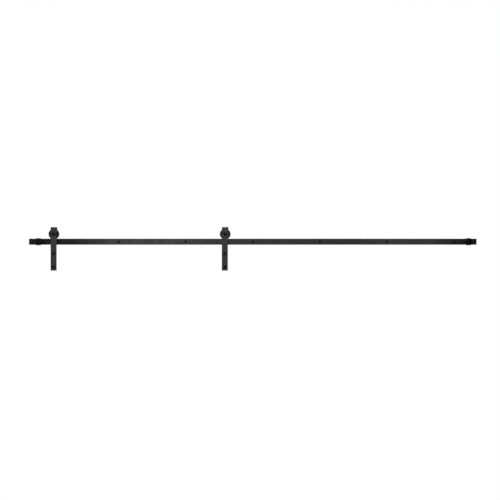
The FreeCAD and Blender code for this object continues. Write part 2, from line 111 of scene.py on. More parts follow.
def at_angle(measure: Measure, angle: float) -> float:
    """Reads a measure that may change with the angle.

    Args:
        measure: A number, or a function of the angle.
        angle: The angle in radians.

    Returns:
        The measure at that angle.
    """
    return measure(angle) if callable(measure) else measure


def outline(corners: Sequence[Corner], closed: bool = True, arc_steps: int = 5) -> list[Ring]:
    """Rounds the corners of a turned outline.

    Args:
        corners: The outline's corners in order.
        closed: Whether the last corner joins the first.
        arc_steps: How many stretches stand for each rounded corner.

    Returns:
        The rings that the outline sweeps.
    """
    rings: list[Ring] = []
    count = len(corners)
    for index, corner in enumerate(corners):
        here = Vector((corner.radius, corner.along))
        is_end = not closed and index in (0, count - 1)
        if corner.round <= 0 or is_end:
            rings.append(Ring(here.x, here.y))
            continue
        before, after = corners[index - 1], corners[(index + 1) % count]
        back = (Vector((before.radius, before.along)) - here).normalized()
        ahead = (Vector((after.radius, after.along)) - here).normalized()
        half = back.angle(ahead) / 2
        middle = here + (back + ahead).normalized() * corner.round / math.sin(half)
        reach = corner.round / math.tan(half)
        first, last = here + back * reach - middle, here + ahead * reach - middle
        sweep = first.angle_signed(last)
        for step in range(arc_steps + 1):
            turned = first.copy()
            turned.rotate(Matrix.Rotation(-sweep * step / arc_steps, 2))
            rings.append(Ring(middle.x + turned.x, middle.y + turned.y))
    return rings


def hexagon(flats: float, corner_cut: float = 0.985,
            inset: float = 0.0) -> Callable[[float], float]:
    """A hexagon's radius by angle, with its corners slightly rounded off.

    Args:
        flats: The size across flats.
        corner_cut: The share of the full corner radius that is left.
        inset: How much the radius is less all round.

    Returns:
        A function from the angle, measured from one corner, to the radius.
    """
    corner = flats / math.sqrt(3) * corner_cut

    def radius(angle: float) -> float:
        """The hexagon's radius at an angle."""
        return min(flats / 2 / math.cos(angle % HEX_SECTOR - HEX_SECTOR / 2), corner) - inset

    return radius


@dataclass(frozen=True)
class Thread:
    """A right-hand screw thread, its sizes in metres."""

    pitch: float
    root: float
    crest: float
    root_share: float = 0.16
    crest_share: float = 0.14

    def phases(self) -> tuple[float, float, float, float]:
        """Where the root's and the crest's edges lie in one pitch, as shares of it."""
        middle = (1 + self.root_share) / 2
        return (0.0, self.root_share, middle - self.crest_share / 2, middle + self.crest_share / 2)

    def radius(self, angle: float, along: float) -> float:
        """The thread's radius at a place.

        Args:
            angle: The angle round the axis.
            along: The distance along the axis.

        Returns:
            The radius there.
        """
        _, root_end, crest_start, crest_end = self.phases()
        phase = (along / self.pitch + angle / FULL_TURN) % 1.0
        if phase <= root_end:
            share = 0.0
        elif phase < crest_start:
            share = (phase - root_end) / (crest_start - root_end)
        elif phase <= crest_end:
            share = 1.0
        else:
            share = (1 - phase) / (1 - crest_end)
        return self.root + (self.crest - self.root) * share

    def ring(self, along: float, left: float = 1.0) -> Ring:
        """The thread's outline at one place.

        Args:
            along: The place along the axis.
            left: The share of the full radius that is left there.

        Returns:
            The ring.
        """
        return Ring(lambda angle: self.radius(angle, along) * left, along)


@dataclass(frozen=True)
class ScrewPoint:
    """The point of a screw: its length, and the share of the thread's radius left at its tip."""

    length: float
    left: float

    def taper(self, end: float) -> Callable[[float], float]:
        """How the point narrows the thread.

        Args:
            end: Where the screw ends.

        Returns:
            A function from the place along the screw to the share of the radius that is left.
        """
        def share(along: float) -> float:
            """The share at one place."""
            into = max(0.0, along - (end - self.length)) / self.length
            return 1.0 - (1.0 - self.left) * into

        return share


def axis_place(x: float, y: float, z: float, yaw_deg: float = 0.0) -> Matrix:
    """Where a turned piece goes.

    Args:
        x: The axis's place along the rail.
        y: The axis's place from the wall.
        z: The axis's height.
        yaw_deg: How far the axis is turned from +Y, about Z.

    Returns:
        The matrix that carries a piece built round Y to its place.
    """
    return Matrix.Translation((x, y, z)) @ Matrix.Rotation(math.radians(yaw_deg), 4, "Z")


def add_object(name: str, shell: bmesh.types.BMesh, sharp_deg: float) -> bpy.types.Object:
    """Puts a shell in the scene as an object of its own.

    Args:
        name: The object's name.
        shell: The shell, which is used up.
        sharp_deg: Edges that turn further than this stay crisp.

    Returns:
        The new object.
    """
    bmesh.ops.recalc_face_normals(shell, faces=shell.faces)
    mesh = bpy.data.meshes.new(name)
    shell.to_mesh(mesh)
    shell.free()
    mesh.shade_smooth()
    mesh.set_sharp_from_angle(angle=math.radians(sharp_deg))
    made = bpy.data.objects.new(name, mesh)
    bpy.context.scene.collection.objects.link(made)
    return made


class PieceMesh:
    """Collects closed turned shells into one mesh."""

    def __init__(self, steps: int = 72) -> None:
        """Starts an empty mesh.

        Args:
            steps: How many points go round each ring. It is a multiple of 6, so that hexagons keep
                their corners.
        """
        self.shell = bmesh.new()
        self.steps = steps

    def _row(self, ring: Ring, place: Matrix, start: float) -> list[bmesh.types.BMVert]:
        """Adds the points of one ring.

        Args:
            ring: The ring to add.
            place: The matrix that carries the piece to its place.
            start: The angle of the first point.

        Returns:
            The new points, only one where the radius is zero.
        """
        if ring.radius == 0.0:
            return [self.shell.verts.new(place @ Vector((0, at_angle(ring.along, 0), 0)))]
        row = []
        for index in range(self.steps):
            local = FULL_TURN * index / self.steps
            radius, along = at_angle(ring.radius, local), at_angle(ring.along, local)
            angle = local + start
            point = Vector((radius * math.cos(angle), along, radius * math.sin(angle)))
            row.append(self.shell.verts.new(place @ point))
        return row

    def _bridge(self, low: list[bmesh.types.BMVert], high: list[bmesh.types.BMVert]) -> None:
        """Joins two neighbouring rings with faces.

        Args:
            low: The points of one ring.
            high: The points of the next ring.
        """
        for index in range(self.steps):
            following = (index + 1) % self.steps
            if len(low) == 1:
                corners = [low[0], high[following], high[index]]
            elif len(high) == 1:
                corners = [low[index], low[following], high[0]]
            else:
                corners = [low[index], low[following], high[following], high[index]]
            self.shell.faces.new(corners)

    def turn(self, rings: Sequence[Ring], place: Matrix, turn_deg: float = 0.0,
             closed: bool = False) -> None:
        """Adds a turned shell.

        Args:
            rings: The rings in order.
            place: The matrix that carries the piece to its place.
            turn_deg: How far the piece is turned about its own axis.
            closed: Whether the last ring joins the first, as on a washer.
        """
        start = math.radians(turn_deg)
        rows = [self._row(ring, place, start) for ring in rings]
        for low, high in zip(rows, rows[1:]):
            self._bridge(low, high)
        if closed:
            self._bridge(rows[-1], rows[0])

    def cut_thread(self, thread: Thread, point: ScrewPoint, start: float, end: float, place: Matrix,
                   turn_deg: float) -> None:
        """Adds a screw's thread, whose rows of faces follow the helix, and its tip.

        Args:
            thread: The thread to cut.
            point: The screw's point.
            start: Where the thread starts along the axis.
            end: Where it ends.
            place: The matrix that carries the piece to its place.
            turn_deg: How far the piece is turned about its own axis.
        """
        phases, rows, left = thread.phases(), [], point.taper(end)
        # A spare turn at each end lets the helix run out into a whole ring.
        first_turn = math.floor(start / thread.pitch) - 1
        last_turn = math.ceil(end / thread.pitch) + 1
        for turn in range(first_turn, last_turn + 1):
            for phase in phases:
                row = []
                for index in range(self.steps):
                    share = index / self.steps
                    along = min(max(thread.pitch * (turn + phase - share), start), end)
                    radius = thread.radius(FULL_TURN * share, along) * left(along)
                    angle = FULL_TURN * share + math.radians(turn_deg)
                    point = Vector((radius * math.cos(angle), along, radius * math.sin(angle)))
                    row.append(self.shell.verts.new(place @ point))
                rows.append(row)
        for index, (low, high) in enumerate(zip(rows, rows[1:])):
            for step in range(self.steps - 1):
                self.shell.faces.new([low[step], low[step + 1], high[step + 1], high[step]])
            # After a full turn the helix comes round to the row one pitch lower.
            below = max(index - len(phases), 0)
            above = max(index + 1 - len(phases), 0)
            if below != above:
                self.shell.faces.new([low[-1], rows[below][0], rows[above][0], high[-1]])
        self.turn([thread.ring(end, left(end)), Ring(0.0, end)], place, turn_deg)

    def finish(self, name: str, sharp_deg: float = 34.0) -> bpy.types.Object:
        """Closes the mesh and puts it in the scene.

        Args:
            name: The piece's name.
            sharp_deg: Edges that turn further than this stay crisp.

        Returns:
            The new object.
        """
        bmesh.ops.remove_doubles(self.shell, verts=self.shell.verts, dist=WELD)
        bmesh.ops.dissolve_degenerate(self.shell, edges=self.shell.edges, dist=WELD)
        return add_object(name, self.shell, sharp_deg)


# ---------------------------------------------------------------- shader groups


class ShaderGroup:
    """A shader node group that several finishes share. It gives out only masks and values."""

    name = "group"
    inputs: tuple[tuple[str, float], ...] = ()
    outputs: tuple[str, ...] = ()

    def __init__(self) -> None:
        """Makes the group's sockets and fills it with nodes."""
        self.tree = bpy.data.node_groups.new(self.name, "ShaderNodeTree")
        sockets, kind = self.tree.interface, "NodeSocketFloat"
        for socket, default in self.inputs:
            made = sockets.new_socket(socket, in_out="INPUT", socket_type=kind)
            made.default_value = default
        for socket in self.outputs:
            sockets.new_socket(socket, in_out="OUTPUT", socket_type=kind)
        self.entry = self.tree.nodes.new("NodeGroupInput")
        self.exit = self.tree.nodes.new("NodeGroupOutput")
        self.fill()

    def fill(self) -> None:
        """Adds the group's nodes and links."""

    def node(self, kind: str, **settings: object) -> bpy.types.Node:
        """Adds a node.

        Args:
            kind: The node's type.
            settings: The node's own settings by name.

        Returns:
            The new node.
        """
        made = self.tree.nodes.new(kind)
        for key, value in settings.items():
            setattr(made, key, value)
        return made

    def put(self, target: bpy.types.NodeSocket, source: object) -> None:
        """Feeds a socket.

        Args:
            target: The socket to feed.
            source: Another node's socket, or a fixed value.
        """
        if isinstance(source, bpy.types.NodeSocket):
            self.tree.links.new(source, target)
        else:
            target.default_value = source

    def given(self, name: str) -> bpy.types.NodeSocket:
        """The group's input with this name."""
        return self.entry.outputs[name]

    def give(self, name: str, value: bpy.types.NodeSocket) -> None:
        """Sends a value to the group's output with this name."""
        self.put(self.exit.inputs[name], value)

    def math(self, operation: str, first: object, second: object = None) -> bpy.types.NodeSocket:
        """Adds a sum between sockets or numbers.

        Args:
            operation: The sum's name.
            first: A socket or a number.
            second: A socket or a number, where the sum takes two.

        Returns:
            The result's socket.
        """
        made = self.node("ShaderNodeMath", operation=operation)
        self.put(made.inputs[0], first)
        if second is not None:
            self.put(made.inputs[1], second)
        return made.outputs[0]

    def ramp(self, value: bpy.types.NodeSocket, start: object,
             full: object) -> bpy.types.NodeSocket:
        """Adds a ramp from 0 to 1 over part of a value's range.

        Args:
            value: The value.
            start: Where the ramp leaves 0, a socket or a number.
            full: Where it reaches 1, a socket or a number.

        Returns:
            The ramp's socket.
        """
        made = self.node("ShaderNodeMapRange")
        self.put(made.inputs["Value"], value)
        self.put(made.inputs["From Min"], start)
        self.put(made.inputs["From Max"], full)
        return made.outputs["Result"]

    def noise(self, size: object, detail: float, roughness: float = 0.5,
              stretch: Vector | None = None) -> bpy.types.NodeSocket:
        """Adds a noise whose blotches have a real size.

        Args:
            size: The blotches' size in metres, a socket or a number.
            detail: How many finer octaves are added.
            roughness: How strong the finer octaves are.
            stretch: How much the noise is squeezed along each axis.

        Returns:
            The noise's value socket.
        """
        place = self.node("ShaderNodeTexCoord").outputs["Object"]
        if stretch is not None:
            squeeze = self.node("ShaderNodeVectorMath", operation="MULTIPLY")
            self.put(squeeze.inputs[1], stretch)
            self.put(squeeze.inputs[0], place)
            place = squeeze.outputs[0]
        made = self.node("ShaderNodeTexNoise")
        self.put(made.inputs["Detail"], detail)
        self.put(made.inputs["Roughness"], roughness)
        self.put(made.inputs["Vector"], place)
        self.put(made.inputs["Scale"], self.math("DIVIDE", 1.0, size))
        return made.outputs["Fac"]


class SurfaceGrain(ShaderGroup):
    """The skin of a coated or moulded surface: orange peel, fine grain and a mottle of tone."""

    name = "surface_grain"
    inputs = (("Peel Size", 3.0 * MM), ("Grain Size", 0.5 * MM), ("Grain Share", 0.5),
              ("Mottle Size", 40 * MM))
    outputs = ("Height", "Mottle", "Speck")
    speck_start = 0.62
    speck_full = 0.74

    def fill(self) -> None:
        """Mixes two noises into a height, and gives a slow one and a sparse one for the tone."""
        peel = self.noise(self.given("Peel Size"), detail=1.0)
        grain = self.noise(self.given("Grain Size"), detail=2.0, roughness=0.6)
        share = self.given("Grain Share")
        grain_part = self.math("MULTIPLY", grain, share)
        peel_part = self.math("MULTIPLY", peel, self.math("SUBTRACT", 1.0, share))
        self.give("Height", self.math("ADD", grain_part, peel_part))
        self.give("Mottle", self.noise(self.given("Mottle Size"), detail=4.0, roughness=0.55))
        self.give("Speck", self.ramp(grain, self.speck_start, self.speck_full))


class EdgeWear(ShaderGroup):
    """Where corners have rubbed: the edges, broken up by a noise."""

    name = "edge_wear"
    inputs = (("Width", 0.6 * MM), ("Breakup Size", 6.0 * MM), ("Cover", 0.4))
    outputs = ("Mask",)
    bevel_samples = 6
    edge_start = 0.985
    edge_full = 0.90
    bare_level = 0.75
    cover_drop = 0.5
    softness = 0.08

    def fill(self) -> None:
        """Compares the rounded normal with the true one, and keeps what the noise lets through."""
        bevel = self.node("ShaderNodeBevel", samples=self.bevel_samples)
        self.put(bevel.inputs["Radius"], self.given("Width"))
        agreement = self.node("ShaderNodeVectorMath", operation="DOT_PRODUCT")
        self.put(agreement.inputs[0], bevel.outputs["Normal"])
        self.put(agreement.inputs[1], self.node("ShaderNodeNewGeometry").outputs["Normal"])
        edge = self.ramp(agreement.outputs["Value"], self.edge_start, self.edge_full)
        broken = self.noise(self.given("Breakup Size"), detail=5.0, roughness=0.65)
        drop = self.math("MULTIPLY", self.given("Cover"), self.cover_drop)
        level = self.math("SUBTRACT", self.bare_level, drop)
        passed = self.ramp(broken, level, self.math("ADD", level, self.softness))
        self.give("Mask", self.math("MULTIPLY", edge, passed))


class Handling(ShaderGroup):
    """Faint smudges and a film of dust on what faces up."""

    name = "handling"
    inputs = (("Smudge Size", 25 * MM), ("Dust Size", 1.2 * MM))
    outputs = ("Smudge", "Dust")
    smudge_stretch = Vector((1.0, 1.0, 0.45))
    level_start = 0.75
    level_full = 1.0

    def fill(self) -> None:
        """Gives a soft smudge noise, and a finer one that only shows on surfaces that face up."""
        smudge = self.noise(self.given("Smudge Size"), detail=6.0, roughness=0.6,
                            stretch=self.smudge_stretch)
        self.give("Smudge", smudge)
        facing = self.node("ShaderNodeSeparateXYZ")
        self.put(facing.inputs[0], self.node("ShaderNodeNewGeometry").outputs["Normal"])
        level = self.ramp(facing.outputs["Z"], self.level_start, self.level_full)
        film = self.noise(self.given("Dust Size"), detail=6.0, roughness=0.7)
        self.give("Dust", self.math("MULTIPLY", level, film))


class TurningMarks(ShaderGroup):
    """Fine rings left by a lathe or a grinding wheel, round an axis along Y."""

    name = "turning_marks"
    inputs = (("Centre X", 0.0), ("Centre Z", 0.0), ("Pitch", 0.15 * MM))
    outputs = ("Height",)
    rings_per_pitch = 1.0
    ring_detail = 3.0

    def fill(self) -> None:
        """Turns the distance from the axis into uneven rings."""
        place = self.node("ShaderNodeSeparateXYZ")
        self.put(place.inputs[0], self.node("ShaderNodeTexCoord").outputs["Object"])
        across = self.math("SUBTRACT", place.outputs["X"], self.given("Centre X"))
        up = self.math("SUBTRACT", place.outputs["Z"], self.given("Centre Z"))
        squares = (self.math("MULTIPLY", across, across), self.math("MULTIPLY", up, up))
        radius = self.math("SQRT", self.math("ADD", *squares))
        distance = self.math("DIVIDE", radius, self.given("Pitch"))
        depth = self.math("DIVIDE", place.outputs["Y"], self.given("Pitch"))
        rings = self.node("ShaderNodeTexNoise", noise_dimensions="1D")
        self.put(rings.inputs["Scale"], self.rings_per_pitch)
        self.put(rings.inputs["Detail"], self.ring_detail)
        self.put(rings.inputs["W"], self.math("ADD", distance, depth))
        self.give("Height", rings.outputs["Fac"])


@dataclass(frozen=True)
class ShaderLibrary:
    """The shared shader groups, each built once."""

    grain: SurfaceGrain = field(default_factory=SurfaceGrain)
    wear: EdgeWear = field(default_factory=EdgeWear)
    handling: Handling = field(default_factory=Handling)
    turning: TurningMarks = field(default_factory=TurningMarks)


# ---------------------------------------------------------------- finishes

Colour = tuple[float, float, float]

WHOLE = (0.0, 1.0)
NOISE_SPAN = (0.3, 0.7)
DUST_SPAN = (0.42, 0.75)


def shaded(tone: Colour, share: float, lift: float = 0.0) -> Colour:
    """A darker or lighter form of a colour.

    Args:
        tone: The colour.
        share: What each channel is multiplied by.
        lift: What is added to each channel.

    Returns:
        The new colour.
    """
    return tuple(channel * share + lift for channel in tone)


class MaterialTree:
    """A material with one Principled shader, and short ways to feed it."""

    def __init__(self, name: str) -> None:
        """Makes the material.

        Args:
            name: The material's name.
        """
        self.material = bpy.data.materials.new(name)
        self.material.use_nodes = True
        self.nodes = self.material.node_tree.nodes
        self.links = self.material.node_tree.links
        self.shader = self.nodes["Principled BSDF"]

    def place(self, group: ShaderGroup, **values: float) -> bpy.types.NodeOutputs:
        """Places a shader group with its own values.

        Args:
            group: The group to place.
            values: Its inputs, with underscores for the spaces.

        Returns:
            The group's outputs, read by name.
        """
        made = self.nodes.new("ShaderNodeGroup")
        made.node_tree = group.tree
        for key, value in values.items():
            made.inputs[key.replace("_", " ")].default_value = value
        return made.outputs

    def fixed(self, **values: object) -> None:
        """Sets shader sockets that are the same all over.

        Args:
            values: The sockets, with underscores for the spaces.
        """
        for key, value in values.items():
            self.shader.inputs[key.replace("_", " ")].default_value = value

    def blend(self, mask: bpy.types.NodeSocket, low: object, high: object) -> bpy.types.NodeSocket:
        """Mixes two colours by a mask.

        Args:
            mask: The share of the second colour.
            low: The first colour, a tuple or a socket.
            high: The second colour, a tuple or a socket.

        Returns:
            The mixed colour's socket.
        """
        mix = self.nodes.new("ShaderNodeMix")
        mix.data_type = "RGBA"
        self.links.new(mask, mix.inputs["Factor"])
        # A mix node has its sockets once for each type of value. These are the ones for colour.
        for slot, colour in ((mix.inputs[6], low), (mix.inputs[7], high)):
            if isinstance(colour, bpy.types.NodeSocket):
                self.links.new(colour, slot)
            else:
                slot.default_value = (*colour, 1.0)
        return mix.outputs[2]

    def span(self, value: bpy.types.NodeSocket, low: float, high: float,
             reach: tuple[float, float] = NOISE_SPAN) -> bpy.types.NodeSocket:
        """Maps a value that changes over the surface to another range.

        Args:
            value: The value to map.
            low: What its low end becomes.
            high: What its high end becomes.
            reach: The value's low and high ends.

        Returns:
            The mapped value's socket.
        """
        made = self.nodes.new("ShaderNodeMapRange")
        self.links.new(value, made.inputs["Value"])
        for key, number in zip(("From Min", "From Max", "To Min", "To Max"), (*reach, low, high)):
            made.inputs[key].default_value = number
        return made.outputs["Result"]

    def feed(self, socket: str, value: bpy.types.NodeSocket) -> None:
        """Joins a value to one of the shader's sockets."""
        self.links.new(value, self.shader.inputs[socket])

    def feed_bump(self, height: bpy.types.NodeSocket, depth: float) -> None:
        """Gives the surface a fine relief.

        Args:
            height: The height, from 0 to 1.
            depth: How deep that range is, in metres.
        """
        made = self.nodes.new("ShaderNodeBump")
        made.inputs["Distance"].default_value = depth
        self.links.new(height, made.inputs["Height"])
        self.feed("Normal", made.outputs["Normal"])


@dataclass(frozen=True)
class Marks:
    """The masks and values that a surface's colour is mixed from."""

    mottle: bpy.types.NodeSocket
    speck: bpy.types.NodeSocket
    dust: bpy.types.NodeSocket
    wear: bpy.types.NodeSocket


@dataclass(frozen=True)
class GrainedFinish:
    """A finish with a grained skin, worn corners and smudges. Its lengths are in metres."""

    name: str
    tone: Colour
    roughness: float
    sheen_level: float = 0.5
    smoother: float = 0.05
    rougher: float = 0.07
    peel_size: float = 3.0 * MM
    grain_size: float = 0.5 * MM
    grain_share: float = 0.6
    grain_depth: float = 0.03 * MM
    mottle_size: float = 40 * MM
    wear_width: float = 0.5 * MM
    wear_breakup: float = 6.0 * MM
    wear_cover: float = 0.4
    smudge_size: float = 25 * MM
    dust_size: float = 0.6 * MM

    def paint(self, tree: MaterialTree, marks: Marks) -> None:
        """Mixes the colour, and the bare metal where there is some.

        Args:
            tree: The material's tree.
            marks: The masks to mix by.
        """

    def build(self, shaders: ShaderLibrary) -> bpy.types.Material:
        """Builds the finish.

        Args:
            shaders: The shared shader groups.

        Returns:
            The material.
        """
        tree = MaterialTree(self.name)
        skin = tree.place(shaders.grain, Peel_Size=self.peel_size, Grain_Size=self.grain_size,
                          Grain_Share=self.grain_share, Mottle_Size=self.mottle_size)
        wear = tree.place(shaders.wear, Width=self.wear_width, Breakup_Size=self.wear_breakup,
                          Cover=self.wear_cover)
        handling = tree.place(shaders.handling, Smudge_Size=self.smudge_size,
                              Dust_Size=self.dust_size)
        self.paint(tree, Marks(skin["Mottle"], skin["Speck"], handling["Dust"], wear["Mask"]))
        smooth, rough = self.roughness - self.smoother, self.roughness + self.rougher
        tree.feed("Roughness", tree.span(handling["Smudge"], smooth, rough))
        tree.fixed(Specular_IOR_Level=self.sheen_level)
        tree.feed_bump(skin["Height"], self.grain_depth)
        return tree.material


@dataclass(frozen=True)
class PowderCoat(GrainedFinish):
    """Fine-textured powder coat over steel, with a little rubbed metal at its corners."""

    smoother: float = 0.08
    rougher: float = 0.09
    peel_size: float = 2.6 * MM
    grain_size: float = 0.55 * MM
    grain_share: float = 0.55
    grain_depth: float = 0.09 * MM
    mottle_size: float = 60 * MM
    wear_width: float = 0.55 * MM
    wear_breakup: float = 7 * MM
    wear_cover: float = 0.34
    smudge_size: float = 30 * MM
    dust_size: float = 0.9 * MM
    dark_share: float = 0.72
    light_share: float = 1.3
    dust_share: float = 1.4
    dust_lift: float = 0.010
    speck_cover: float = 0.5
    dust_cover: float = 0.30
    bare_metal: Colour = (0.22, 0.213, 0.205)
    bare_metallic: float = 0.8

    def paint(self, tree: MaterialTree, marks: Marks) -> None:
        """Mixes two tones of the coat, its dusty specks and the bare corners.

        Args:
            tree: The material's tree.
            marks: The masks to mix by.
        """
        darker, lighter = shaded(self.tone, self.dark_share), shaded(self.tone, self.light_share)
        dusty = shaded(self.tone, self.dust_share, self.dust_lift)
        coat = tree.blend(tree.span(marks.mottle, *WHOLE), darker, lighter)
        coat = tree.blend(tree.span(marks.speck, 0.0, self.speck_cover, WHOLE), coat, dusty)
        coat = tree.blend(tree.span(marks.dust, 0.0, self.dust_cover, DUST_SPAN), coat, dusty)
        tree.feed("Base Color", tree.blend(marks.wear, coat, self.bare_metal))
        tree.feed("Metallic", tree.span(marks.wear, 0.0, self.bare_metallic, WHOLE))


@dataclass(frozen=True)
class BlackenedSteel(GrainedFinish):
    """Steel with a thin black conversion finish, as on the bolts, nuts and washers."""

    smoother: float = 0.06
    rougher: float = 0.1
    peel_size: float = 1.2 * MM
    grain_size: float = 0.16 * MM
    grain_share: float = 0.7
    grain_depth: float = 0.035 * MM
    mottle_size: float = 6 * MM
    wear_width: float = 0.35 * MM
    wear_breakup: float = 2.2 * MM
    wear_cover: float = 0.45
    smudge_size: float = 5 * MM
    dust_size: float = 0.5 * MM
    coat_metallic: float = 0.80
    brown_shares: tuple[float, float, float] = (2.1, 1.75, 1.4)
    bare_metal: Colour = (0.24, 0.235, 0.23)

    def paint(self, tree: MaterialTree, marks: Marks) -> None:
        """Mixes the black with its brownish bloom, and bares the corners.

        Args:
            tree: The material's tree.
            marks: The masks to mix by.
        """
        brownish = tuple(channel * share for channel, share in zip(self.tone, self.brown_shares))
        coat = tree.blend(tree.span(marks.mottle, *WHOLE), self.tone, brownish)
        tree.feed("Base Color", tree.blend(marks.wear, coat, self.bare_metal))
        tree.feed("Metallic", tree.span(marks.wear, self.coat_metallic, 1.0, WHOLE))


@dataclass(frozen=True)
class Moulding(GrainedFinish):
    """A moulded plastic or rubber skin."""

    peel_size: float = 5 * MM
    grain_size: float = 0.22 * MM
    mottle_size: float = 14 * MM
    wear_breakup: float = 3 * MM
    wear_cover: float = 0.55
    smudge_size: float = 12 * MM
    light_share: float = 1.25
    dust_cover: float = 0.35
    rub_cover: float = 0.6
    rub: Colour = (0.06, 0.06, 0.06)

    def paint(self, tree: MaterialTree, marks: Marks) -> None:
        """Mixes two tones of the body with dust and rubbed edges.

        Args:
            tree: The material's tree.
            marks: The masks to mix by.
        """
        lighter = shaded(self.tone, self.light_share)
        skin = tree.blend(tree.span(marks.mottle, *WHOLE), self.tone, lighter)
        skin = tree.blend(tree.span(marks.dust, 0.0, self.dust_cover, DUST_SPAN), skin, self.rub)
        rubbed = tree.blend(tree.span(marks.wear, 0.0, self.rub_cover, WHOLE), skin, self.rub)
        tree.feed("Base Color", rubbed)


@dataclass(frozen=True)
class TurnedSteel:
    """Bare steel with the rings of the tool that turned or ground it."""

    name: str
    tone: Colour
    roughness: float
    smoother: float = 0.04
    rougher: float = 0.08
    ring_pitch: float = 0.12 * MM
    ring_depth: float = 0.004 * MM
    smudge_size: float = 4 * MM
    dust_size: float = 0.5 * MM
    oily_share: float = 0.8

    def build(self, shaders: ShaderLibrary, owner: str, centre: Vector) -> bpy.types.Material:
        """Builds the finish.

        Args:
            shaders: The shared shader groups.
            owner: Whose steel it is, which its name starts with.
            centre: A point on the axis that its rings go round.

        Returns:
            The material.
        """
        tree = MaterialTree(f"{owner}_{self.name}")
        rings = tree.place(shaders.turning, Centre_X=centre.x, Centre_Z=centre.z,
                           Pitch=self.ring_pitch)
        handling = tree.place(shaders.handling, Smudge_Size=self.smudge_size,
                              Dust_Size=self.dust_size)
        oily = shaded(self.tone, self.oily_share)
        tree.feed("Base Color", tree.blend(tree.span(handling["Smudge"], *WHOLE), self.tone, oily))
        smooth, rough = self.roughness - self.smoother, self.roughness + self.rougher
        tree.feed("Roughness", tree.span(rings["Height"], smooth, rough))
        tree.fixed(Metallic=1.0)
        tree.feed_bump(rings["Height"], self.ring_depth)
        return tree.material


class Finish(Enum):
    """The finishes that both sides share."""

    RAIL = PowderCoat("rail_powder_coat", (0.0052, 0.0052, 0.0054), 0.27, 0.55)
    STRAP = PowderCoat("strap_powder_coat", (0.0098, 0.0098, 0.0100), 0.50, 0.68)
    STOP = PowderCoat("stop_powder_coat", (0.0035, 0.0035, 0.0036), 0.55, 0.10, wear_cover=0.36)
    SPACER = PowderCoat("spacer_powder_coat", (0.006, 0.006, 0.0062), 0.50, 0.30, wear_cover=0.36)
    FIXING = BlackenedSteel("blackened_lag_screws", (0.0030, 0.0030, 0.0030), 0.55, wear_cover=0.35)
    FASTENER = BlackenedSteel("black_oxide_bolts", (0.0040, 0.0040, 0.0040), 0.55)
    WHEEL = Moulding("wheel_nylon", (0.0065, 0.0065, 0.0067), 0.36, 0.38)
    INSERT = Moulding("locking_insert_nylon", (0.035, 0.035, 0.037), 0.5, 0.4)
    BUFFER = Moulding("buffer_rubber", (0.0045, 0.0045, 0.0045), 0.75, 0.15, grain_size=0.3 * MM,
                      grain_depth=0.02 * MM, rub=(0.02, 0.02, 0.02))
    SEAL = Moulding("seal_rubber", (0.008, 0.008, 0.008), 0.6, 0.3)


Materials = dict[Finish, bpy.types.Material]


# ---------------------------------------------------------------- placing pieces


def dress(node: str, material: bpy.types.Material) -> None:
    """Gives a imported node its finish.

    Args:
        node: The node's name.
        material: The finish.
    """
    slots = NODES[node].data.materials
    slots.clear()
    slots.append(material)
    log.info("dressed %s with %s", node, material.name)


def fit(piece: bpy.types.Object, material: bpy.types.Material, body: str, slot: Slot,
        *nodes: str) -> None:
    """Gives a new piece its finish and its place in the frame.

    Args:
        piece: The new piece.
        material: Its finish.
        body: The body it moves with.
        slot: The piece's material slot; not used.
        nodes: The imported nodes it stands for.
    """
    piece.data.materials.append(material)
    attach(piece, body)
    if nodes:
        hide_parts(*nodes)
    log.info("made %s, %d faces, in %s", piece.name, len(piece.data.polygons), material.name)


def box_centre(node: str) -> Vector:
    """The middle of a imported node's box."""
    low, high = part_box(node)
    return (low + high) / 2


# ---------------------------------------------------------------- fasteners

Ease = tuple[tuple[float, float], ...]


@dataclass(frozen=True)
class HexHead:
    """A forged hexagon head or nut blank, bevelled outside, with a washer face at its seat.

    Each ease lists, for its rings, how far in they are and how far along, in multiples of edge.
    """

    flats: float
    edge: float = 0.3 * MM
    crown_share: float = 0.465
    crown_ease: Ease = ((2.0, 0.0), (0.5, 0.0625))
    bevel_deg: float = 30.0
    bevel_drop: float = 0.25
    bevel_steps: int = 4
    under_ease: Ease = ((0.0, 2.2), (0.4, 1.4))
    washer_face_share: float = 0.475
    washer_face_ease: Ease = ((0.0, 1.2), (0.3, 0.0))

    def bevel(self, share: float, outer: float, way: float) -> Ring:
        """One ring of the corner bevel.

        Args:
            share: How far the ring is from the crown to the flats, from 0 to 1.
            outer: Where the outer end is along the axis.
            way: Which way the seat lies, 1 or -1.

        Returns:
            The ring.
        """
        corner, crown = hexagon(self.flats), self.flats * self.crown_share
        slope = math.tan(math.radians(self.bevel_deg))

        def radius(angle: float) -> float:
            """The bevel's radius by angle."""
            return crown + share * (corner(angle) - crown)

        def along(angle: float) -> float:
            """The bevel's place by angle."""
            return outer + way * slope * (radius(angle) - crown + self.bevel_drop * self.edge)

        return Ring(radius, along)

    def rings(self, outer: float, seat: float, inner: float) -> list[Ring]:
        """The rings from the crown of the outer end to the inner edge of the seat.

        Args:
            outer: Where the outer end is along the axis.
            seat: Where the seat is.
            inner: The radius at which the seat's ring stops.

        Returns:
            The rings in order.
        """
        crown, face = self.flats * self.crown_share, self.flats * self.washer_face_share
        way = math.copysign(1.0, seat - outer)
        edge, rings = self.edge, []
        for inset, drop in self.crown_ease:
            rings.append(Ring(crown - inset * edge, outer + way * drop * edge))
        for step in range(self.bevel_steps + 1):
            rings.append(self.bevel(step / self.bevel_steps, outer, way))
        for inset, rise in self.under_ease:
            rings.append(Ring(hexagon(self.flats, inset=inset * edge), seat - way * rise * edge))
        for inset, rise in self.washer_face_ease:
            rings.append(Ring(face - inset * edge, seat - way * rise * edge))
        return [*rings, Ring(inner, seat)]


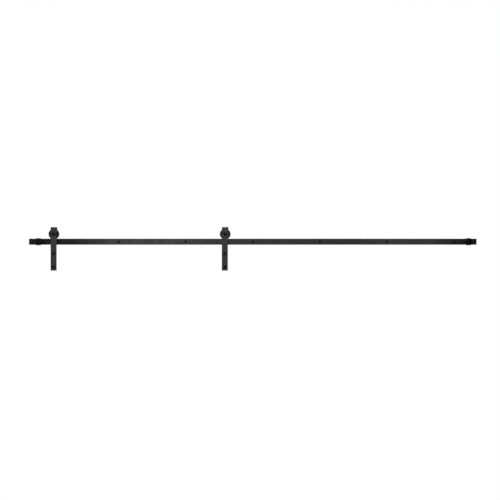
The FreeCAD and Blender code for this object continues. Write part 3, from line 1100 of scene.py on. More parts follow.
@dataclass(frozen=True)
class BoltShape:
    """A hexagon-headed bolt or screw along Y, from its head to its point."""

    head: HexHead
    head_height: float
    shank: float
    thread: Thread
    point: ScrewPoint
    head_dip: float = 0.12 * MM
    dip_radius_share: float = 0.25
    dip_share: float = 0.8
    fillet: float = 0.3 * MM
    run_in: float = 0.6 * MM

    def build(self, mesh: PieceMesh, place: Matrix, turn_deg: float, seat: float,
              thread_from: float, end: float, neck: tuple[float, float] | None = None) -> None:
        """Adds one bolt to a mesh.

        Args:
            mesh: The mesh to add to.
            place: The matrix that carries the bolt to its place.
            turn_deg: How far the bolt is turned about its own axis.
            seat: Where the head seats along the axis.
            thread_from: Where the thread starts.
            end: Where the bolt ends.
            neck: The radius of a thicker neck under the head, and where it ends.
        """
        outer, under_head = seat - self.head_height, neck[0] if neck else self.shank
        # The crown is very slightly dished, as a forged head is.
        dip_radius, dip = self.head.flats * self.dip_radius_share, self.dip_share * self.head_dip
        rings = [Ring(0.0, outer + self.head_dip), Ring(dip_radius, outer + dip)]
        rings += self.head.rings(outer, seat, under_head + self.fillet)
        rings.append(Ring(under_head, seat + self.fillet))
        if neck:
            rings += [Ring(neck[0], neck[1] - self.fillet), Ring(self.shank, neck[1])]
        rings += [Ring(self.shank, thread_from - self.run_in), self.thread.ring(thread_from)]
        mesh.turn(rings, place, turn_deg)
        mesh.cut_thread(self.thread, self.point, thread_from, end, place, turn_deg)


@dataclass(frozen=True)
class NutShape:
    """A hexagon nut, or one with a round collar that holds a locking insert."""

    head: HexHead
    bore: float
    collar: float = 0.0
    countersink: float = 0.55 * MM
    collar_share: float = 0.44
    collar_round: float = 0.9 * MM
    collar_steps: int = 4
    lip: float = 1.1 * MM
    insert_depth: float = 1.2 * MM

    @property
    def insert_radius(self) -> float:
        """The radius of the hollow that the insert sits in."""
        return self.head.flats * self.collar_share - self.lip

    def collar_rings(self, hex_end: float, outer: float) -> list[Ring]:
        """The rings of the collar, rolled over the insert.

        Args:
            hex_end: Where the hexagon ends and the collar starts.
            outer: Where the collar ends.

        Returns:
            The rings from the collar's foot to the bottom of the insert's hollow.
        """
        way = math.copysign(1.0, outer - hex_end)
        rim, fillet = self.head.flats * self.collar_share, self.head.edge / 2
        rings = [Ring(rim + fillet, hex_end), Ring(rim, hex_end + way * fillet)]
        for step in range(self.collar_steps + 1):
            angle = math.pi / 2 * step / self.collar_steps
            radius = rim - self.collar_round * (1 - math.cos(angle))
            rings.append(Ring(radius, outer - way * self.collar_round * (1 - math.sin(angle))))
        hollow, floor = self.insert_radius, outer - way * self.insert_depth
        return rings + [Ring(hollow, outer), Ring(hollow, floor), Ring(self.bore, floor)]

    def build(self, mesh: PieceMesh, place: Matrix, turn_deg: float, seat: float,
              outer: float) -> None:
        """Adds one nut to a mesh.

        Args:
            mesh: The mesh to add to.
            place: The matrix that carries the nut to its place.
            turn_deg: How far the nut is turned about its own axis.
            seat: Where the nut seats along the axis.
            outer: Where it ends.
        """
        sink = self.countersink
        way = math.copysign(1.0, outer - seat)
        hex_end = outer - way * self.collar
        blank = self.head.rings(hex_end, seat, self.bore + sink)
        rings = [Ring(self.bore, seat + way * sink), *reversed(blank)]
        if self.collar > 0:
            rings += self.collar_rings(hex_end, outer)
        else:
            rings += [Ring(self.bore + sink, outer), Ring(self.bore, outer - way * sink)]
        mesh.turn(rings, place, turn_deg, closed=True)


@dataclass(frozen=True)
class WasherShape:
    """A stamped washer: one face rolled over at its edges, the other left crisp."""

    hole: float
    roll_share: float = 0.32
    burr_share: float = 0.08

    def rings(self, outer: float, rolled: float, crisp: float) -> list[Ring]:
        """The washer's rings, which close on themselves.

        Args:
            outer: The outer radius.
            rolled: Where the rolled face is along the axis.
            crisp: Where the crisp face is.

        Returns:
            The rings in order.
        """
        thickness = abs(crisp - rolled)
        roll, burr = self.roll_share * thickness, self.burr_share * thickness
        corners = [Corner(self.hole, rolled, roll), Corner(outer, rolled, roll)]
        return outline(corners + [Corner(outer, crisp, burr), Corner(self.hole, crisp, burr)])


@dataclass(frozen=True)
class HandTurn:
    """Where a hand left its screws and nuts. Each has a number and rests at its own angle."""

    step_deg: float = 37.0
    start_deg: float = 11.0

    def degrees(self, number: int) -> float:
        """The resting angle of the hexagon with this number."""
        return (self.step_deg * number + self.start_deg) % math.degrees(HEX_SECTOR)


# ---------------------------------------------------------------- track


@dataclass
class Track:
    """The rail and what fixes it to the wall."""

    materials: Materials
    body: str = "track"
    washer: WasherShape = WasherShape(hole=4.3 * MM)
    washer_steps: int = 60
    screw_steps: int = 48
    screw: BoltShape = BoltShape(
        head=HexHead(flats=13.0 * MM),
        head_height=5.3 * MM,
        shank=4.0 * MM,
        thread=Thread(pitch=3.2 * MM, root=2.8 * MM, crest=3.95 * MM,
                      root_share=0.42, crest_share=0.06),
        point=ScrewPoint(length=9.0 * MM, left=0.12),
        head_dip=0.15 * MM,
        run_in=1.0 * MM,
    )

    @property
    def spacers(self) -> list[str]:
        """The names of the spacers' nodes."""
        return sorted(name for name in NODES if name.startswith("wall_spacer"))

    @property
    def fixings(self) -> list[float]:
        """Where the fixings are along the rail, read from the spacers."""
        return sorted(box_centre(spacer).x for spacer in self.spacers)

    def build(self) -> None:
        """Dresses the rail and spacers, and makes the screws and washers."""
        dress("rail", self.materials[Finish.RAIL])
        for spacer in self.spacers:
            dress(spacer, self.materials[Finish.SPACER])
        self.make_washers()
        self.make_screws()

    def fit_steel(self, mesh: PieceMesh, name: str, node: str) -> None:
        """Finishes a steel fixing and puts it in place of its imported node.

        Args:
            mesh: The fixing's mesh.
            name: The piece's name.
            node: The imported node's name.
        """
        fit(mesh.finish(name), self.materials[Finish.FIXING], self.body, Slot.FIXING, node)

    def make_washers(self) -> None:
        """Makes the washers under the screws' heads."""
        low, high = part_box("wall_screw_washers")
        rings = self.washer.rings((high.z - low.z) / 2, low.y, high.y)
        mesh = PieceMesh(self.washer_steps)
        for x in self.fixings:
            mesh.turn(rings, axis_place(x, 0, 0), closed=True)
        self.fit_steel(mesh, "stamped_screw_washers", "wall_screw_washers")

    def make_screws(self) -> None:
        """Makes the lag screws, whose coarse threads run to a point in the wall."""
        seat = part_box("wall_screw_washers")[0].y
        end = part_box("wall_screws")[1].y
        mesh, wall_face = PieceMesh(self.screw_steps), 0.0
        for number, x in enumerate(self.fixings):
            turn_deg = HandTurn().degrees(number)
            self.screw.build(mesh, axis_place(x, 0, 0), turn_deg, seat, wall_face, end)
        self.fit_steel(mesh, "lag_screws", "wall_screws")


# ---------------------------------------------------------------- roller


@dataclass
class Roller:
    """The grooved wheel that runs on the rail, with its ball bearing, seals and circlip."""

    side: Side
    shaders: ShaderLibrary
    materials: Materials
    ground: TurnedSteel = TurnedSteel("ground_steel", (0.62, 0.62, 0.63), 0.16)
    pressed: TurnedSteel = TurnedSteel("pressed_steel", (0.45, 0.45, 0.45), 0.32)
    spring: TurnedSteel = TurnedSteel("spring_steel", (0.07, 0.068, 0.065), 0.34)
    wheel_steps: int = 144
    groove_half: float = 4.0 * MM
    groove_flare: float = 1.75 * MM
    groove_round: float = 0.5 * MM
    flange_depth: float = 4.25 * MM
    flange_round: float = 1.7 * MM
    flange_bevel: float = 2.0 * MM
    flange_lip_round: float = 0.7 * MM
    rim_wall: float = 3.75 * MM
    hub_wall: float = 4.5 * MM
    wall_round: float = 0.6 * MM
    recess_depth: float = 3.0 * MM
    recess_draft: float = 0.3 * MM
    recess_round: float = 0.9 * MM
    bearing_radius: float = 16.0 * MM
    bearing_half: float = 5.0 * MM
    bearing_shoulder: float = 1.5 * MM
    mouth_round: float = 0.4 * MM
    seal_inner: float = 8.7 * MM
    seal_thickness: float = 0.8 * MM
    seal_dip: float = 0.28 * MM
    seal_rim: float = 0.7 * MM
    seal_lip: float = 0.75 * MM
    seal_step: float = 0.25 * MM
    seal_steps: int = 96
    circlip_thickness: float = 1.2 * MM
    circlip_bite: float = 0.8 * MM
    circlip_play: float = 0.05 * MM
    circlip_gap_deg: float = 50.0
    circlip_end_width: float = 1.35 * MM
    circlip_swell: float = 0.75 * MM
    circlip_lug: float = 3.4 * MM
    circlip_lug_place: float = 1.9 * MM
    circlip_lug_half: float = 2.1 * MM
    circlip_steps: int = 120

    def node(self, name: str) -> str:
        """The name of one of this roller's nodes."""
        return f"{self.side.value}_{name}"

    @property
    def body(self) -> str:
        """The body that turns with the wheel."""
        return self.node("roller")

    @property
    def axle(self) -> Vector:
        """The middle of the wheel, which its axle runs through."""
        return box_centre(self.node("wheel"))

    def build(self) -> None:
        """Dresses the bearing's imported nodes, and makes the wheel, the seals and the circlip."""
        centre, owner = self.axle, self.side.value
        ground = self.ground.build(self.shaders, owner, centre)
        for name in ("bearing_inner_race", "bearing_outer_race", "bearing_balls"):
            dress(self.node(name), ground)
        dress(self.node("bearing_cage"), self.pressed.build(self.shaders, owner, centre))
        self.make_wheel()
        self.make_seals()
        self.make_circlip(self.spring.build(self.shaders, owner, centre))

    def flange_corners(self, radius: float, half: float) -> list[Corner]:
        """One flange's corners, from its side to the bottom of the groove.

        Args:
            radius: The wheel's radius.
            half: Half of the wheel's width.

        Returns:
            The corners on the room side, in order.
        """
        mouth, tread = self.groove_half + self.groove_flare, radius - self.flange_depth
        bevel, ease = self.flange_bevel, self.flange_round
        side = [Corner(radius - bevel, -half, ease), Corner(radius, -half + bevel, ease)]
        lip = Corner(radius, -mouth, self.flange_lip_round)
        return side + [lip, Corner(tread, -self.groove_half, self.groove_round)]

    def face_corners(self, radius: float, half: float) -> list[Corner]:
        """One face's corners, from the bearing's seat over the hub and the recess to the rim.

        Args:
            radius: The wheel's radius.
            half: Half of the wheel's width.

        Returns:
            The corners on the room side, in order.
        """
        hub = self.bearing_radius + self.hub_wall
        rim = radius - self.flange_depth - self.rim_wall
        web, draft = half - self.recess_depth, self.recess_draft
        edge, foot = self.wall_round, self.recess_round
        hub_side = [Corner(hub, -half, edge), Corner(hub + draft, -web, foot)]
        return hub_side + [Corner(rim - draft, -web, foot), Corner(rim, -half, edge)]

    def bore_corners(self, half: float) -> list[Corner]:
        """The corners of the bearing's seat, from the shoulder at the back to the circlip's groove.

        Args:
            half: Half of the wheel's width.

        Returns:
            The corners in order, ending at the mouth on the room side.
        """
        seat, reach = self.bearing_radius, self.bearing_half
        shoulder, bite = seat - self.bearing_shoulder, seat + self.circlip_bite
        front = -reach - self.circlip_thickness - self.circlip_play
        corners = [Corner(shoulder, half, self.mouth_round), Corner(shoulder, reach)]
        corners += [Corner(seat, reach), Corner(seat, -reach), Corner(bite, -reach)]
        corners += [Corner(bite, front), Corner(seat, front)]
        return corners + [Corner(seat, -half, self.mouth_round)]

    def make_wheel(self) -> None:
        """Makes the grooved wheel, recessed on both faces and eased at every edge."""
        low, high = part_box(self.node("wheel"))
        radius, half = (high.z - low.z) / 2, (high.y - low.y) / 2
        near = self.face_corners(radius, half) + self.flange_corners(radius, half)
        far = [Corner(corner.radius, -corner.along, corner.round) for corner in reversed(near)]
        mesh, rings = PieceMesh(self.wheel_steps), outline(near + far + self.bore_corners(half))
        mesh.turn(rings, axis_place(*self.axle), closed=True)
        wheel = mesh.finish(self.node("moulded_wheel"), sharp_deg=40.0)
        fit(wheel, self.materials[Finish.WHEEL], self.body, Slot.NYLON, self.node("wheel"))

    def make_seals(self) -> None:
        """Makes the two seals, each a disc with a raised rim and a thin lip at the inner race."""
        low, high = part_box(self.node("bearing_seals"))
        outer, reach, step = (high.z - low.z) / 2, (high.y - low.y) / 2, self.seal_step
        lip_in = self.seal_inner + step
        lip_out = lip_in + self.seal_lip
        rim_in, ease, lip_ease = outer - self.seal_rim, step / 2, step / 3
        mesh, place = PieceMesh(self.seal_steps), axis_place(*self.axle)
        for way in (-1, 1):
            face, back = way * reach, way * (reach - self.seal_thickness)
            dip = way * (reach - self.seal_dip)
            rim = [Corner(outer, back), Corner(outer, face, ease), Corner(rim_in, face, ease)]
            disc = [Corner(rim_in - step, dip, ease), Corner(lip_out + step, dip, ease)]
            lip = [Corner(lip_out, face, ease), Corner(lip_in, face, ease)]
            lip += [Corner(self.seal_inner, dip, lip_ease), Corner(self.seal_inner, back)]
            mesh.turn(outline(rim + disc + lip, arc_steps=3), place, closed=True)
        seals = mesh.finish(self.node("lipped_seals"), sharp_deg=45.0)
        fit(seals, self.materials[Finish.SEAL], self.body, Slot.SEAL, self.node("bearing_seals"))

    def circlip_width(self, share: float, from_end: float) -> float:
        """The circlip's width, widest opposite its gap and again at the lugs.

        Args:
            share: How far round the ring, from 0 to 1.
            from_end: The distance to the nearer end.

        Returns:
            The width.
        """
        ring = self.circlip_end_width + self.circlip_swell * math.sin(math.pi * share)
        off = (from_end - self.circlip_lug_place) / self.circlip_lug_half
        lug = self.circlip_lug * math.sqrt(max(0.0, 1 - off * off))
        return max(ring, lug)

    def make_circlip(self, steel: bpy.types.Material) -> None:
        """Makes the circlip, a split ring that swells into a lug at each end.

        Args:
            steel: Its finish.
        """
        centre, outer = self.axle, self.bearing_radius + self.circlip_bite - self.circlip_play
        back = centre.y - self.bearing_half
        front = back - self.circlip_thickness
        gap = math.radians(self.circlip_gap_deg)
        sweep, shell = FULL_TURN - gap, bmesh.new()
        rows: list[list[bmesh.types.BMVert]] = []
        for step in range(self.circlip_steps + 1):
            share = step / self.circlip_steps
            angle = gap + sweep * share
            inner = outer - self.circlip_width(share, min(share, 1 - share) * sweep * outer)
            section, row = ((outer, front), (outer, back), (inner, back), (inner, front)), []
            for radius, y in section:
                x, z = centre.x + radius * math.cos(angle), centre.z - radius * math.sin(angle)
                row.append(shell.verts.new((x, y, z)))
            rows.append(row)
        for low, high in zip(rows, rows[1:]):
            for index in range(len(low)):
                shell.faces.new([low[index - 1], low[index], high[index], high[index - 1]])
        shell.faces.new(rows[0])
        shell.faces.new(rows[-1][::-1])
        clip = add_object(self.node("split_circlip"), shell, sharp_deg=35.0)
        fit(clip, steel, self.body, Slot.SPRING, self.node("wheel_circlip"))


# ---------------------------------------------------------------- hanger


@dataclass
class Hanger:
    """The bent strap of one hanger, with its axle bolt, door bolts, washers and nuts."""

    side: Side
    materials: Materials
    strap_thickness: float = 5.0 * MM
    steps: int = 72
    axle_head: HexHead = HexHead(flats=19.0 * MM)
    axle_head_height: float = 7.5 * MM
    axle_radius: float = 5.98 * MM
    axle_thread: Thread = Thread(pitch=1.75 * MM, root=4.95 * MM, crest=5.98 * MM)
    axle_thread_cover: float = 2.0 * MM
    axle_washer_play: float = 0.3 * MM
    axle_head_turn_deg: float = 18.0
    axle_nut_turn_deg: float = 41.0
    nut_collar: float = 2.2 * MM
    insert_lip: float = 0.35 * MM
    insert_round: float = 0.3 * MM
    door_head: HexHead = HexHead(flats=17.0 * MM)
    door_head_height: float = 6.4 * MM
    door_neck: float = 5.3 * MM
    door_shank: float = 5.0 * MM
    door_thread: Thread = Thread(pitch=1.5 * MM, root=4.1 * MM, crest=4.85 * MM)
    door_thread_cover: float = 1.0 * MM
    door_washer: WasherShape = WasherShape(hole=5.3 * MM)
    upper_numbers: tuple[int, int] = (3, 8)
    lower_numbers: tuple[int, int] = (4, 9)
    point: ScrewPoint = ScrewPoint(length=1.0 * MM, left=0.8)
    nut_play: float = 0.05 * MM

    def node(self, name: str) -> str:
        """The name of one of this hanger's nodes."""
        return f"{self.side.value}_{name}"

    def fit_steel(self, mesh: PieceMesh, name: str, node: str) -> None:
        """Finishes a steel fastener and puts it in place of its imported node.

        Args:
            mesh: The fastener's mesh.
            name: The piece's name without its side.
            node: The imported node's name without its side.
        """
        piece, steel = mesh.finish(self.node(name)), self.materials[Finish.FASTENER]
        fit(piece, steel, self.node("hanger"), Slot.FASTENER, self.node(node))

    def build(self) -> None:
        """Dresses the strap and sleeves, and makes the bolts, washers and nuts."""
        dress(self.node("strap"), self.materials[Finish.STRAP])
        dress(self.node("axle_sleeves"), self.materials[Finish.FASTENER])
        self.make_axle_bolt()
        self.make_axle_nut()
        self.make_door_bolts()

    @property
    def axle_place(self) -> Matrix:
        """Where the axle's pieces go."""
        centre = box_centre(self.node("wheel"))
        return axis_place(centre.x, 0, centre.z)

    def make_axle_bolt(self) -> None:
        """Makes the axle bolt and its washer."""
        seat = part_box(self.node("strap"))[0].y
        low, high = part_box(self.node("axle_washer"))
        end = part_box(self.node("axle_bolt"))[1].y
        shape = BoltShape(self.axle_head, self.axle_head_height, self.axle_radius, self.axle_thread,
                          self.point)
        bolt, washer = PieceMesh(self.steps), PieceMesh(self.steps)
        thread_from = low.y - self.axle_thread_cover
        shape.build(bolt, self.axle_place, self.axle_head_turn_deg, seat, thread_from, end)
        self.fit_steel(bolt, "forged_axle_bolt", "axle_bolt")
        stamped = WasherShape(hole=self.axle_radius + self.axle_washer_play)
        rings = stamped.rings((high.z - low.z) / 2, high.y, low.y)
        washer.turn(rings, self.axle_place, closed=True)
        self.fit_steel(washer, "stamped_axle_washer", "axle_washer")

    def make_axle_nut(self) -> None:
        """Makes the axle's nut, and the nylon insert that its collar holds."""
        low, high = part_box(self.node("axle_nut"))
        bore = self.axle_radius + self.nut_play
        shape = NutShape(self.axle_head, bore, self.nut_collar)
        nut, insert = PieceMesh(self.steps), PieceMesh(self.steps)
        shape.build(nut, self.axle_place, self.axle_nut_turn_deg, low.y, high.y)
        self.fit_steel(nut, "locking_nut", "axle_nut")

        floor, face = high.y - shape.insert_depth + self.nut_play / 2, high.y - self.insert_lip
        outer = shape.insert_radius - self.nut_play
        ease = self.insert_round
        corners = [Corner(bore, floor), Corner(outer, floor)]
        corners += [Corner(outer, face, ease), Corner(bore, face, ease)]
        insert.turn(outline(corners, arc_steps=3), self.axle_place, closed=True)
        ring = insert.finish(self.node("locking_nut_insert"))
        fit(ring, self.materials[Finish.INSERT], self.node("hanger"), Slot.FASTENER)

    def make_door_bolts(self) -> None:
        """Makes the two door bolts with their washers and nuts."""
        seat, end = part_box(self.node("strap"))[0].y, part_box(self.node("door_bolts"))[1].y
        low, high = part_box(self.node("door_washers"))
        nut_seat, nut_end = (corner.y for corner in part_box(self.node("door_nuts")))
        radius, centre_x = (high.x - low.x) / 2, box_centre(self.node("wheel")).x
        bolt = BoltShape(self.door_head, self.door_head_height, self.door_shank, self.door_thread,
                         self.point)
        nut = NutShape(self.door_head, self.door_thread.crest + self.nut_play)
        neck = (self.door_neck, seat + self.strap_thickness)
        bolts, washers, nuts = PieceMesh(self.steps), PieceMesh(self.steps), PieceMesh(self.steps)
        thread_from = low.y - self.door_thread_cover
        rings = self.door_washer.rings(radius, low.y, high.y)
        heights = (high.z - radius, low.z + radius)
        for z, numbers in zip(heights, (self.upper_numbers, self.lower_numbers)):
            place = axis_place(centre_x, 0, z)
            bolt_turn, nut_turn = (HandTurn().degrees(number) for number in numbers)
            bolt.build(bolts, place, bolt_turn, seat, thread_from, end, neck)
            washers.turn(rings, place, closed=True)
            nut.build(nuts, place, nut_turn, nut_seat, nut_end)
        self.fit_steel(bolts, "forged_door_bolts", "door_bolts")
        self.fit_steel(washers, "stamped_door_washers", "door_washers")
        self.fit_steel(nuts, "hexagon_door_nuts", "door_nuts")


# ---------------------------------------------------------------- end stop


@dataclass
class EndStop:
    """One end stop: its body round the rail, its clamp screw and its rubber buffer."""

    side: Side
    materials: Materials
    body: str = "track"
    screw_steps: int = 60
    screw_turn_deg: float = 12.0
    thread: Thread = Thread(pitch=1.25 * MM, root=3.3 * MM, crest=4.0 * MM)
    thread_run_in: float = 0.6 * MM
    point: ScrewPoint = ScrewPoint(length=1.0 * MM, left=0.75)
    flange: float = 8.75 * MM
    flange_thickness: float = 1.4 * MM
    flange_round: float = 0.5 * MM
    dome: float = 7.0 * MM
    dome_height: float = 2.9 * MM
    dome_steps: int = 8
    crown_deg: float = 38.0
    crown_drop: float = 0.12 * MM
    socket_flats: float = 5.0 * MM
    socket_depth: float = 2.6 * MM
    socket_lead: float = 0.35 * MM
    socket_cone: float = 0.5 * MM
    socket_mouth: float = 3.1 * MM
    buffer_steps: int = 72
    plug_radius: float = 4.5 * MM
    plug_length: float = 7.0 * MM
    plug_round: float = 0.5 * MM
    foot: float = 1.6 * MM
    head: float = 2.2 * MM
    waist_depth: float = 0.5 * MM
    waist_slope: float = 1.2 * MM
    face_margin: float = 1.2 * MM
    face_round: float = 0.8 * MM
    face_dish: float = 0.5 * MM
    ripple_shares: tuple[float, float] = (0.62, 0.34)
    ripple_half: float = 0.7 * MM
    ripple_height: float = 0.35 * MM

    def node(self, name: str) -> str:
        """The name of one of this stop's nodes."""
        return f"{self.side.value}_stop_{name}"

    def build(self) -> None:
        """Dresses the body, and makes the screw and the buffer."""
        dress(self.node("body"), self.materials[Finish.STOP])
        self.make_screw()
        self.make_buffer()

    def dome_rings(self, front: float) -> list[Ring]:
        """The rings of the screw's domed head, from the bottom of its socket to the dome's foot.

        Args:
            front: Where the head's crown is along the axis.

        Returns:
            The rings in order.
        """
        socket, crown = hexagon(self.socket_flats, 1.0), math.radians(self.crown_deg)
        floor, lead = front + self.socket_depth, front + self.socket_lead
        rings = [Ring(0.0, floor + self.socket_cone), Ring(socket, floor), Ring(socket, lead)]
        rings.append(Ring(self.socket_mouth, front))
        rings.append(Ring(self.dome * math.sin(crown), front + self.crown_drop))
        for step in range(1, self.dome_steps + 1):
            angle = crown + (math.pi / 2 - crown) * step / self.dome_steps
            share = 1 - math.cos(angle) / math.cos(crown)
            drop = self.crown_drop + share * (self.dome_height - self.crown_drop)
            rings.append(Ring(self.dome * math.sin(angle), front + drop))
        return rings

    def make_screw(self) -> None:
        """Makes the flanged dome-head clamp screw with its hexagon socket."""
        low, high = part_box(self.node("screw"))
        centre, ease, under = (low + high) / 2, self.flange_round, self.flange_round / 2
        flange_front = low.y + self.dome_height
        seat = flange_front + self.flange_thickness
        start = seat + self.thread_run_in
        rings = self.dome_rings(low.y)
        rings += [Ring(self.dome + ease, flange_front), Ring(self.flange - ease, flange_front)]
        rings += [Ring(self.flange, flange_front + ease), Ring(self.flange, seat - under)]
        rings += [Ring(self.flange - under, seat), Ring(self.thread.crest + under, seat)]
        rings.append(self.thread.ring(start))
        place, mesh = axis_place(centre.x, 0, centre.z), PieceMesh(self.screw_steps)
        mesh.turn(rings, place, self.screw_turn_deg)
        mesh.cut_thread(self.thread, self.point, start, high.y, place, self.screw_turn_deg)
        screw = mesh.finish(self.node("dome_screw"))
        fit(screw, self.materials[Finish.FASTENER], self.body, Slot.FASTENER, self.node("screw"))

    def pad_corners(self, radius: float, length: float) -> list[Corner]:
        """The buffer's outline from its plug to the middle of its face.

        Args:
            radius: The pad's radius.
            length: The pad's length, without the plug.

        Returns:
            The corners in order, measured from the face of the stop's body.
        """
        plug, waist, rim = self.plug_radius, radius - self.waist_depth, radius - self.face_margin
        head, slope = length - self.head, self.waist_slope
        soft, crisp, small = self.face_round, self.face_round / 3, self.face_round / 4
        corners = [Corner(0.0, -self.plug_length), Corner(plug, -self.plug_length, self.plug_round)]
        corners += [Corner(plug, 0.0), Corner(radius, 0.0, crisp), Corner(radius, self.foot, soft)]
        corners += [Corner(waist, self.foot + slope, slope), Corner(waist, head - slope, slope)]
        corners += [Corner(radius, head, soft), Corner(radius, length - self.face_margin, soft)]
        half, dish = self.ripple_half, length - self.face_dish
        corners += [Corner(rim, length, soft), Corner(rim - half, dish, crisp)]
        for share in self.ripple_shares:
            crest, top = radius * share, dish + self.ripple_height
            corners += [Corner(crest + half, dish, small), Corner(crest, top, crisp)]
            corners.append(Corner(crest - half, dish, small))
        return corners + [Corner(0.0, dish)]

    def make_buffer(self) -> None:
        """Makes the rubber buffer, a waisted pad with a dished face and two moulded rings."""
        low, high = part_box(self.node("buffer"))
        centre = (low + high) / 2
        # Each buffer faces the other stop.
        if self.side is Side.LEFT:
            base_x, yaw_deg = low.x + self.plug_length, -90.0
        else:
            base_x, yaw_deg = high.x - self.plug_length, 90.0
        place, mesh = axis_place(base_x, centre.y, centre.z, yaw_deg), PieceMesh(self.buffer_steps)
        corners = self.pad_corners((high.z - low.z) / 2, high.x - low.x - self.plug_length)
        mesh.turn(outline(corners, closed=False, arc_steps=4), place)
        pad = mesh.finish(self.node("rubber_buffer"), sharp_deg=40.0)
        fit(pad, self.materials[Finish.BUFFER], self.body, Slot.BUFFER, self.node("buffer"))


# ---------------------------------------------------------------- studio


@dataclass(frozen=True)
class SoftLight:
    """A rectangular studio light aimed at a point of the rail."""

    name: str
    place: tuple[float, float, float]
    target_x: float
    width: float
    height: float
    power: float

    def build(self) -> None:
        """Adds the light, unseen by the camera."""
        lamp = bpy.data.lights.new(self.name, "AREA")
        lamp.shape = "RECTANGLE"
        lamp.size, lamp.size_y, lamp.energy = self.width, self.height, self.power
        stand = bpy.data.objects.new(self.name, lamp)
        stand.location = self.place
        aim = Vector((self.target_x, 0, 0)) - Vector(self.place)
        stand.rotation_euler = aim.to_track_quat("-Z", "Y").to_euler()
        stand.visible_camera = False
        bpy.context.scene.collection.objects.link(stand)


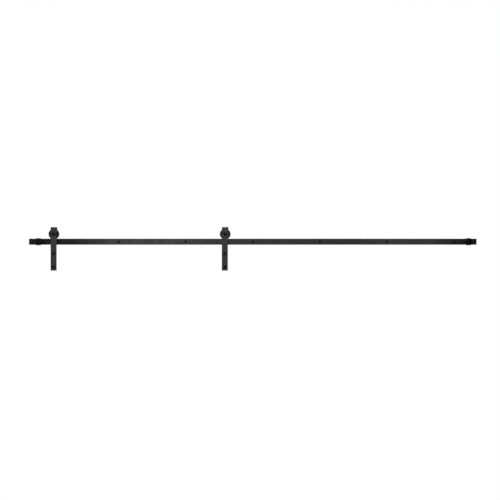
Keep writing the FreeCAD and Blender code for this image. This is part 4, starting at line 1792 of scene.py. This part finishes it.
@dataclass(frozen=True)
class Studio:
    """The pale floor, the soft lights and the camera."""

    floor_drop: float = 0.9
    floor_size: float = 60.0
    floor_cells: int = 24
    floor_tone: Colour = (1.0, 1.0, 0.995)
    floor_roughness: float = 0.9
    floor_glow: float = 0.93
    floor_bounce: float = 0.30
    azimuth_deg: float = 8.0
    elevation_deg: float = 0.0
    distance: float = 8.0
    view_width: float = 3.3195
    look_x: float = -0.0186
    look_y: float = -0.038
    look_z: float = -0.0550
    clip_end: float = 100.0
    ahead: float = 0.05
    behind: float = 0.30
    depth_span: tuple[float, float] = (-0.2, 0.8)
    horizon: float = 1.0
    zenith: float = 0.15
    height_span: tuple[float, float] = (0.1, 0.8)

    def build(self) -> None:
        """Builds the studio."""
        self.make_floor()
        self.make_world()
        self.make_lights()
        self.make_camera()
        settings = bpy.context.scene.view_settings
        settings.view_transform = "Standard"
        settings.look = "None"

    def make_floor(self) -> None:
        """Makes the floor, well below the hardware. To the eye it is evenly lit."""
        shell, cells = bmesh.new(), self.floor_cells
        bmesh.ops.create_grid(shell, x_segments=cells, y_segments=cells, size=self.floor_size / 2)
        floor = add_object("studio_floor", shell, sharp_deg=30.0)
        floor.location.z = CAD_BOX[0][2] - self.floor_drop
        paper = MaterialTree("pale_floor")
        paper.fixed(Emission_Color=(*self.floor_tone, 1.0), Roughness=self.floor_roughness,
                    Specular_IOR_Level=0.0)
        seen = paper.nodes.new("ShaderNodeLightPath").outputs["Is Camera Ray"]
        paper.feed("Emission Strength", paper.span(seen, 0.0, self.floor_glow, WHOLE))
        paper.feed("Base Color", paper.span(seen, self.floor_bounce, 0.0, WHOLE))
        floor.data.materials.append(paper.material)

    def make_world(self) -> None:
        """Makes a white surround for the eye, whose light is dim, and dimmer from above."""
        world = bpy.data.worlds.new("studio_surround")
        bpy.context.scene.world = world
        world.use_nodes = True
        nodes, links = world.node_tree.nodes, world.node_tree.links
        nodes.clear()
        direction = nodes.new("ShaderNodeSeparateXYZ")
        links.new(nodes.new("ShaderNodeTexCoord").outputs["Generated"], direction.inputs[0])
        falls = {
            "Y": (*self.depth_span, self.ahead, self.behind),
            "Z": (*self.height_span, self.horizon, self.zenith),
        }
        product = nodes.new("ShaderNodeMath")
        product.operation = "MULTIPLY"
        for slot, (axis, numbers) in enumerate(falls.items()):
            fall = nodes.new("ShaderNodeMapRange")
            for key, number in zip(("From Min", "From Max", "To Min", "To Max"), numbers):
                fall.inputs[key].default_value = number
            links.new(direction.outputs[axis], fall.inputs["Value"])
            links.new(fall.outputs["Result"], product.inputs[slot])
        mix, camera_share = nodes.new("ShaderNodeMixShader"), nodes.new("ShaderNodeLightPath")
        links.new(camera_share.outputs["Is Camera Ray"], mix.inputs[0])
        dim, white = nodes.new("ShaderNodeBackground"), nodes.new("ShaderNodeBackground")
        for slot, background in enumerate((dim, white), start=1):
            background.inputs["Color"].default_value = (1, 1, 1, 1)
            links.new(background.outputs[0], mix.inputs[slot])
        links.new(product.outputs[0], dim.inputs["Strength"])
        links.new(mix.outputs[0], nodes.new("ShaderNodeOutputWorld").inputs[0])

    def make_lights(self) -> None:
        """Places the lights: a row ahead, a fill to its left, one above, and two behind."""
        lights = (
            SoftLight("left_softbox", place=(-0.93, -1.5, 0.4), target_x=-0.93,
                      width=0.70, height=1.1, power=4.1),
            SoftLight("middle_softbox", place=(-0.10, -1.5, 0.4), target_x=-0.10,
                      width=0.9, height=1.1, power=3.0),
            SoftLight("right_softbox", place=(0.78, -1.5, 0.4), target_x=0.78,
                      width=0.55, height=1.1, power=2.45),
            SoftLight("left_end_fill", place=(-2.9, -1.6, 0.1), target_x=-1.33,
                      width=0.8, height=1.0, power=22.0),
            SoftLight("upper_right_softbox", place=(1.2, -0.5, 2.3), target_x=-0.7,
                      width=0.5, height=0.5, power=75.0),
            SoftLight("back_left_softbox", place=(-1.5, 1.5, 2.2), target_x=-0.8,
                      width=2.0, height=1.2, power=70.0),
            SoftLight("back_right_softbox", place=(1.5, 1.5, 2.2), target_x=0.8,
                      width=2.0, height=1.2, power=70.0),
        )
        for light in lights:
            light.build()

    def make_camera(self) -> None:
        """Sets the camera square to the rail, a little to its right."""
        turn, lift = math.radians(self.azimuth_deg), math.radians(self.elevation_deg)
        level = math.cos(lift)
        away = Vector((math.sin(turn) * level, -math.cos(turn) * level, math.sin(lift)))
        lens = bpy.data.cameras.new("product_camera")
        lens.type = "ORTHO"
        lens.ortho_scale = self.view_width
        lens.clip_end = self.clip_end
        camera = bpy.data.objects.new("product_camera", lens)
        camera.location = Vector((self.look_x, self.look_y, self.look_z)) + away * self.distance
        camera.rotation_euler = (-away).to_track_quat("-Z", "Y").to_euler()
        bpy.context.scene.collection.objects.link(camera)
        bpy.context.scene.camera = camera


# ---------------------------------------------------------------- whole


def main() -> None:
    """Builds the hardware and the studio."""
    logging.basicConfig(level=logging.INFO, format="%(name)s: %(message)s")
    Studio().build()
    shaders = ShaderLibrary()
    materials = {finish: finish.value.build(shaders) for finish in Finish}
    Track(materials).build()
    for side in Side:
        Roller(side, shaders, materials).build()
        Hanger(side, materials).build()
        EndStop(side, materials).build()


if __name__ == "__main__":
    main()
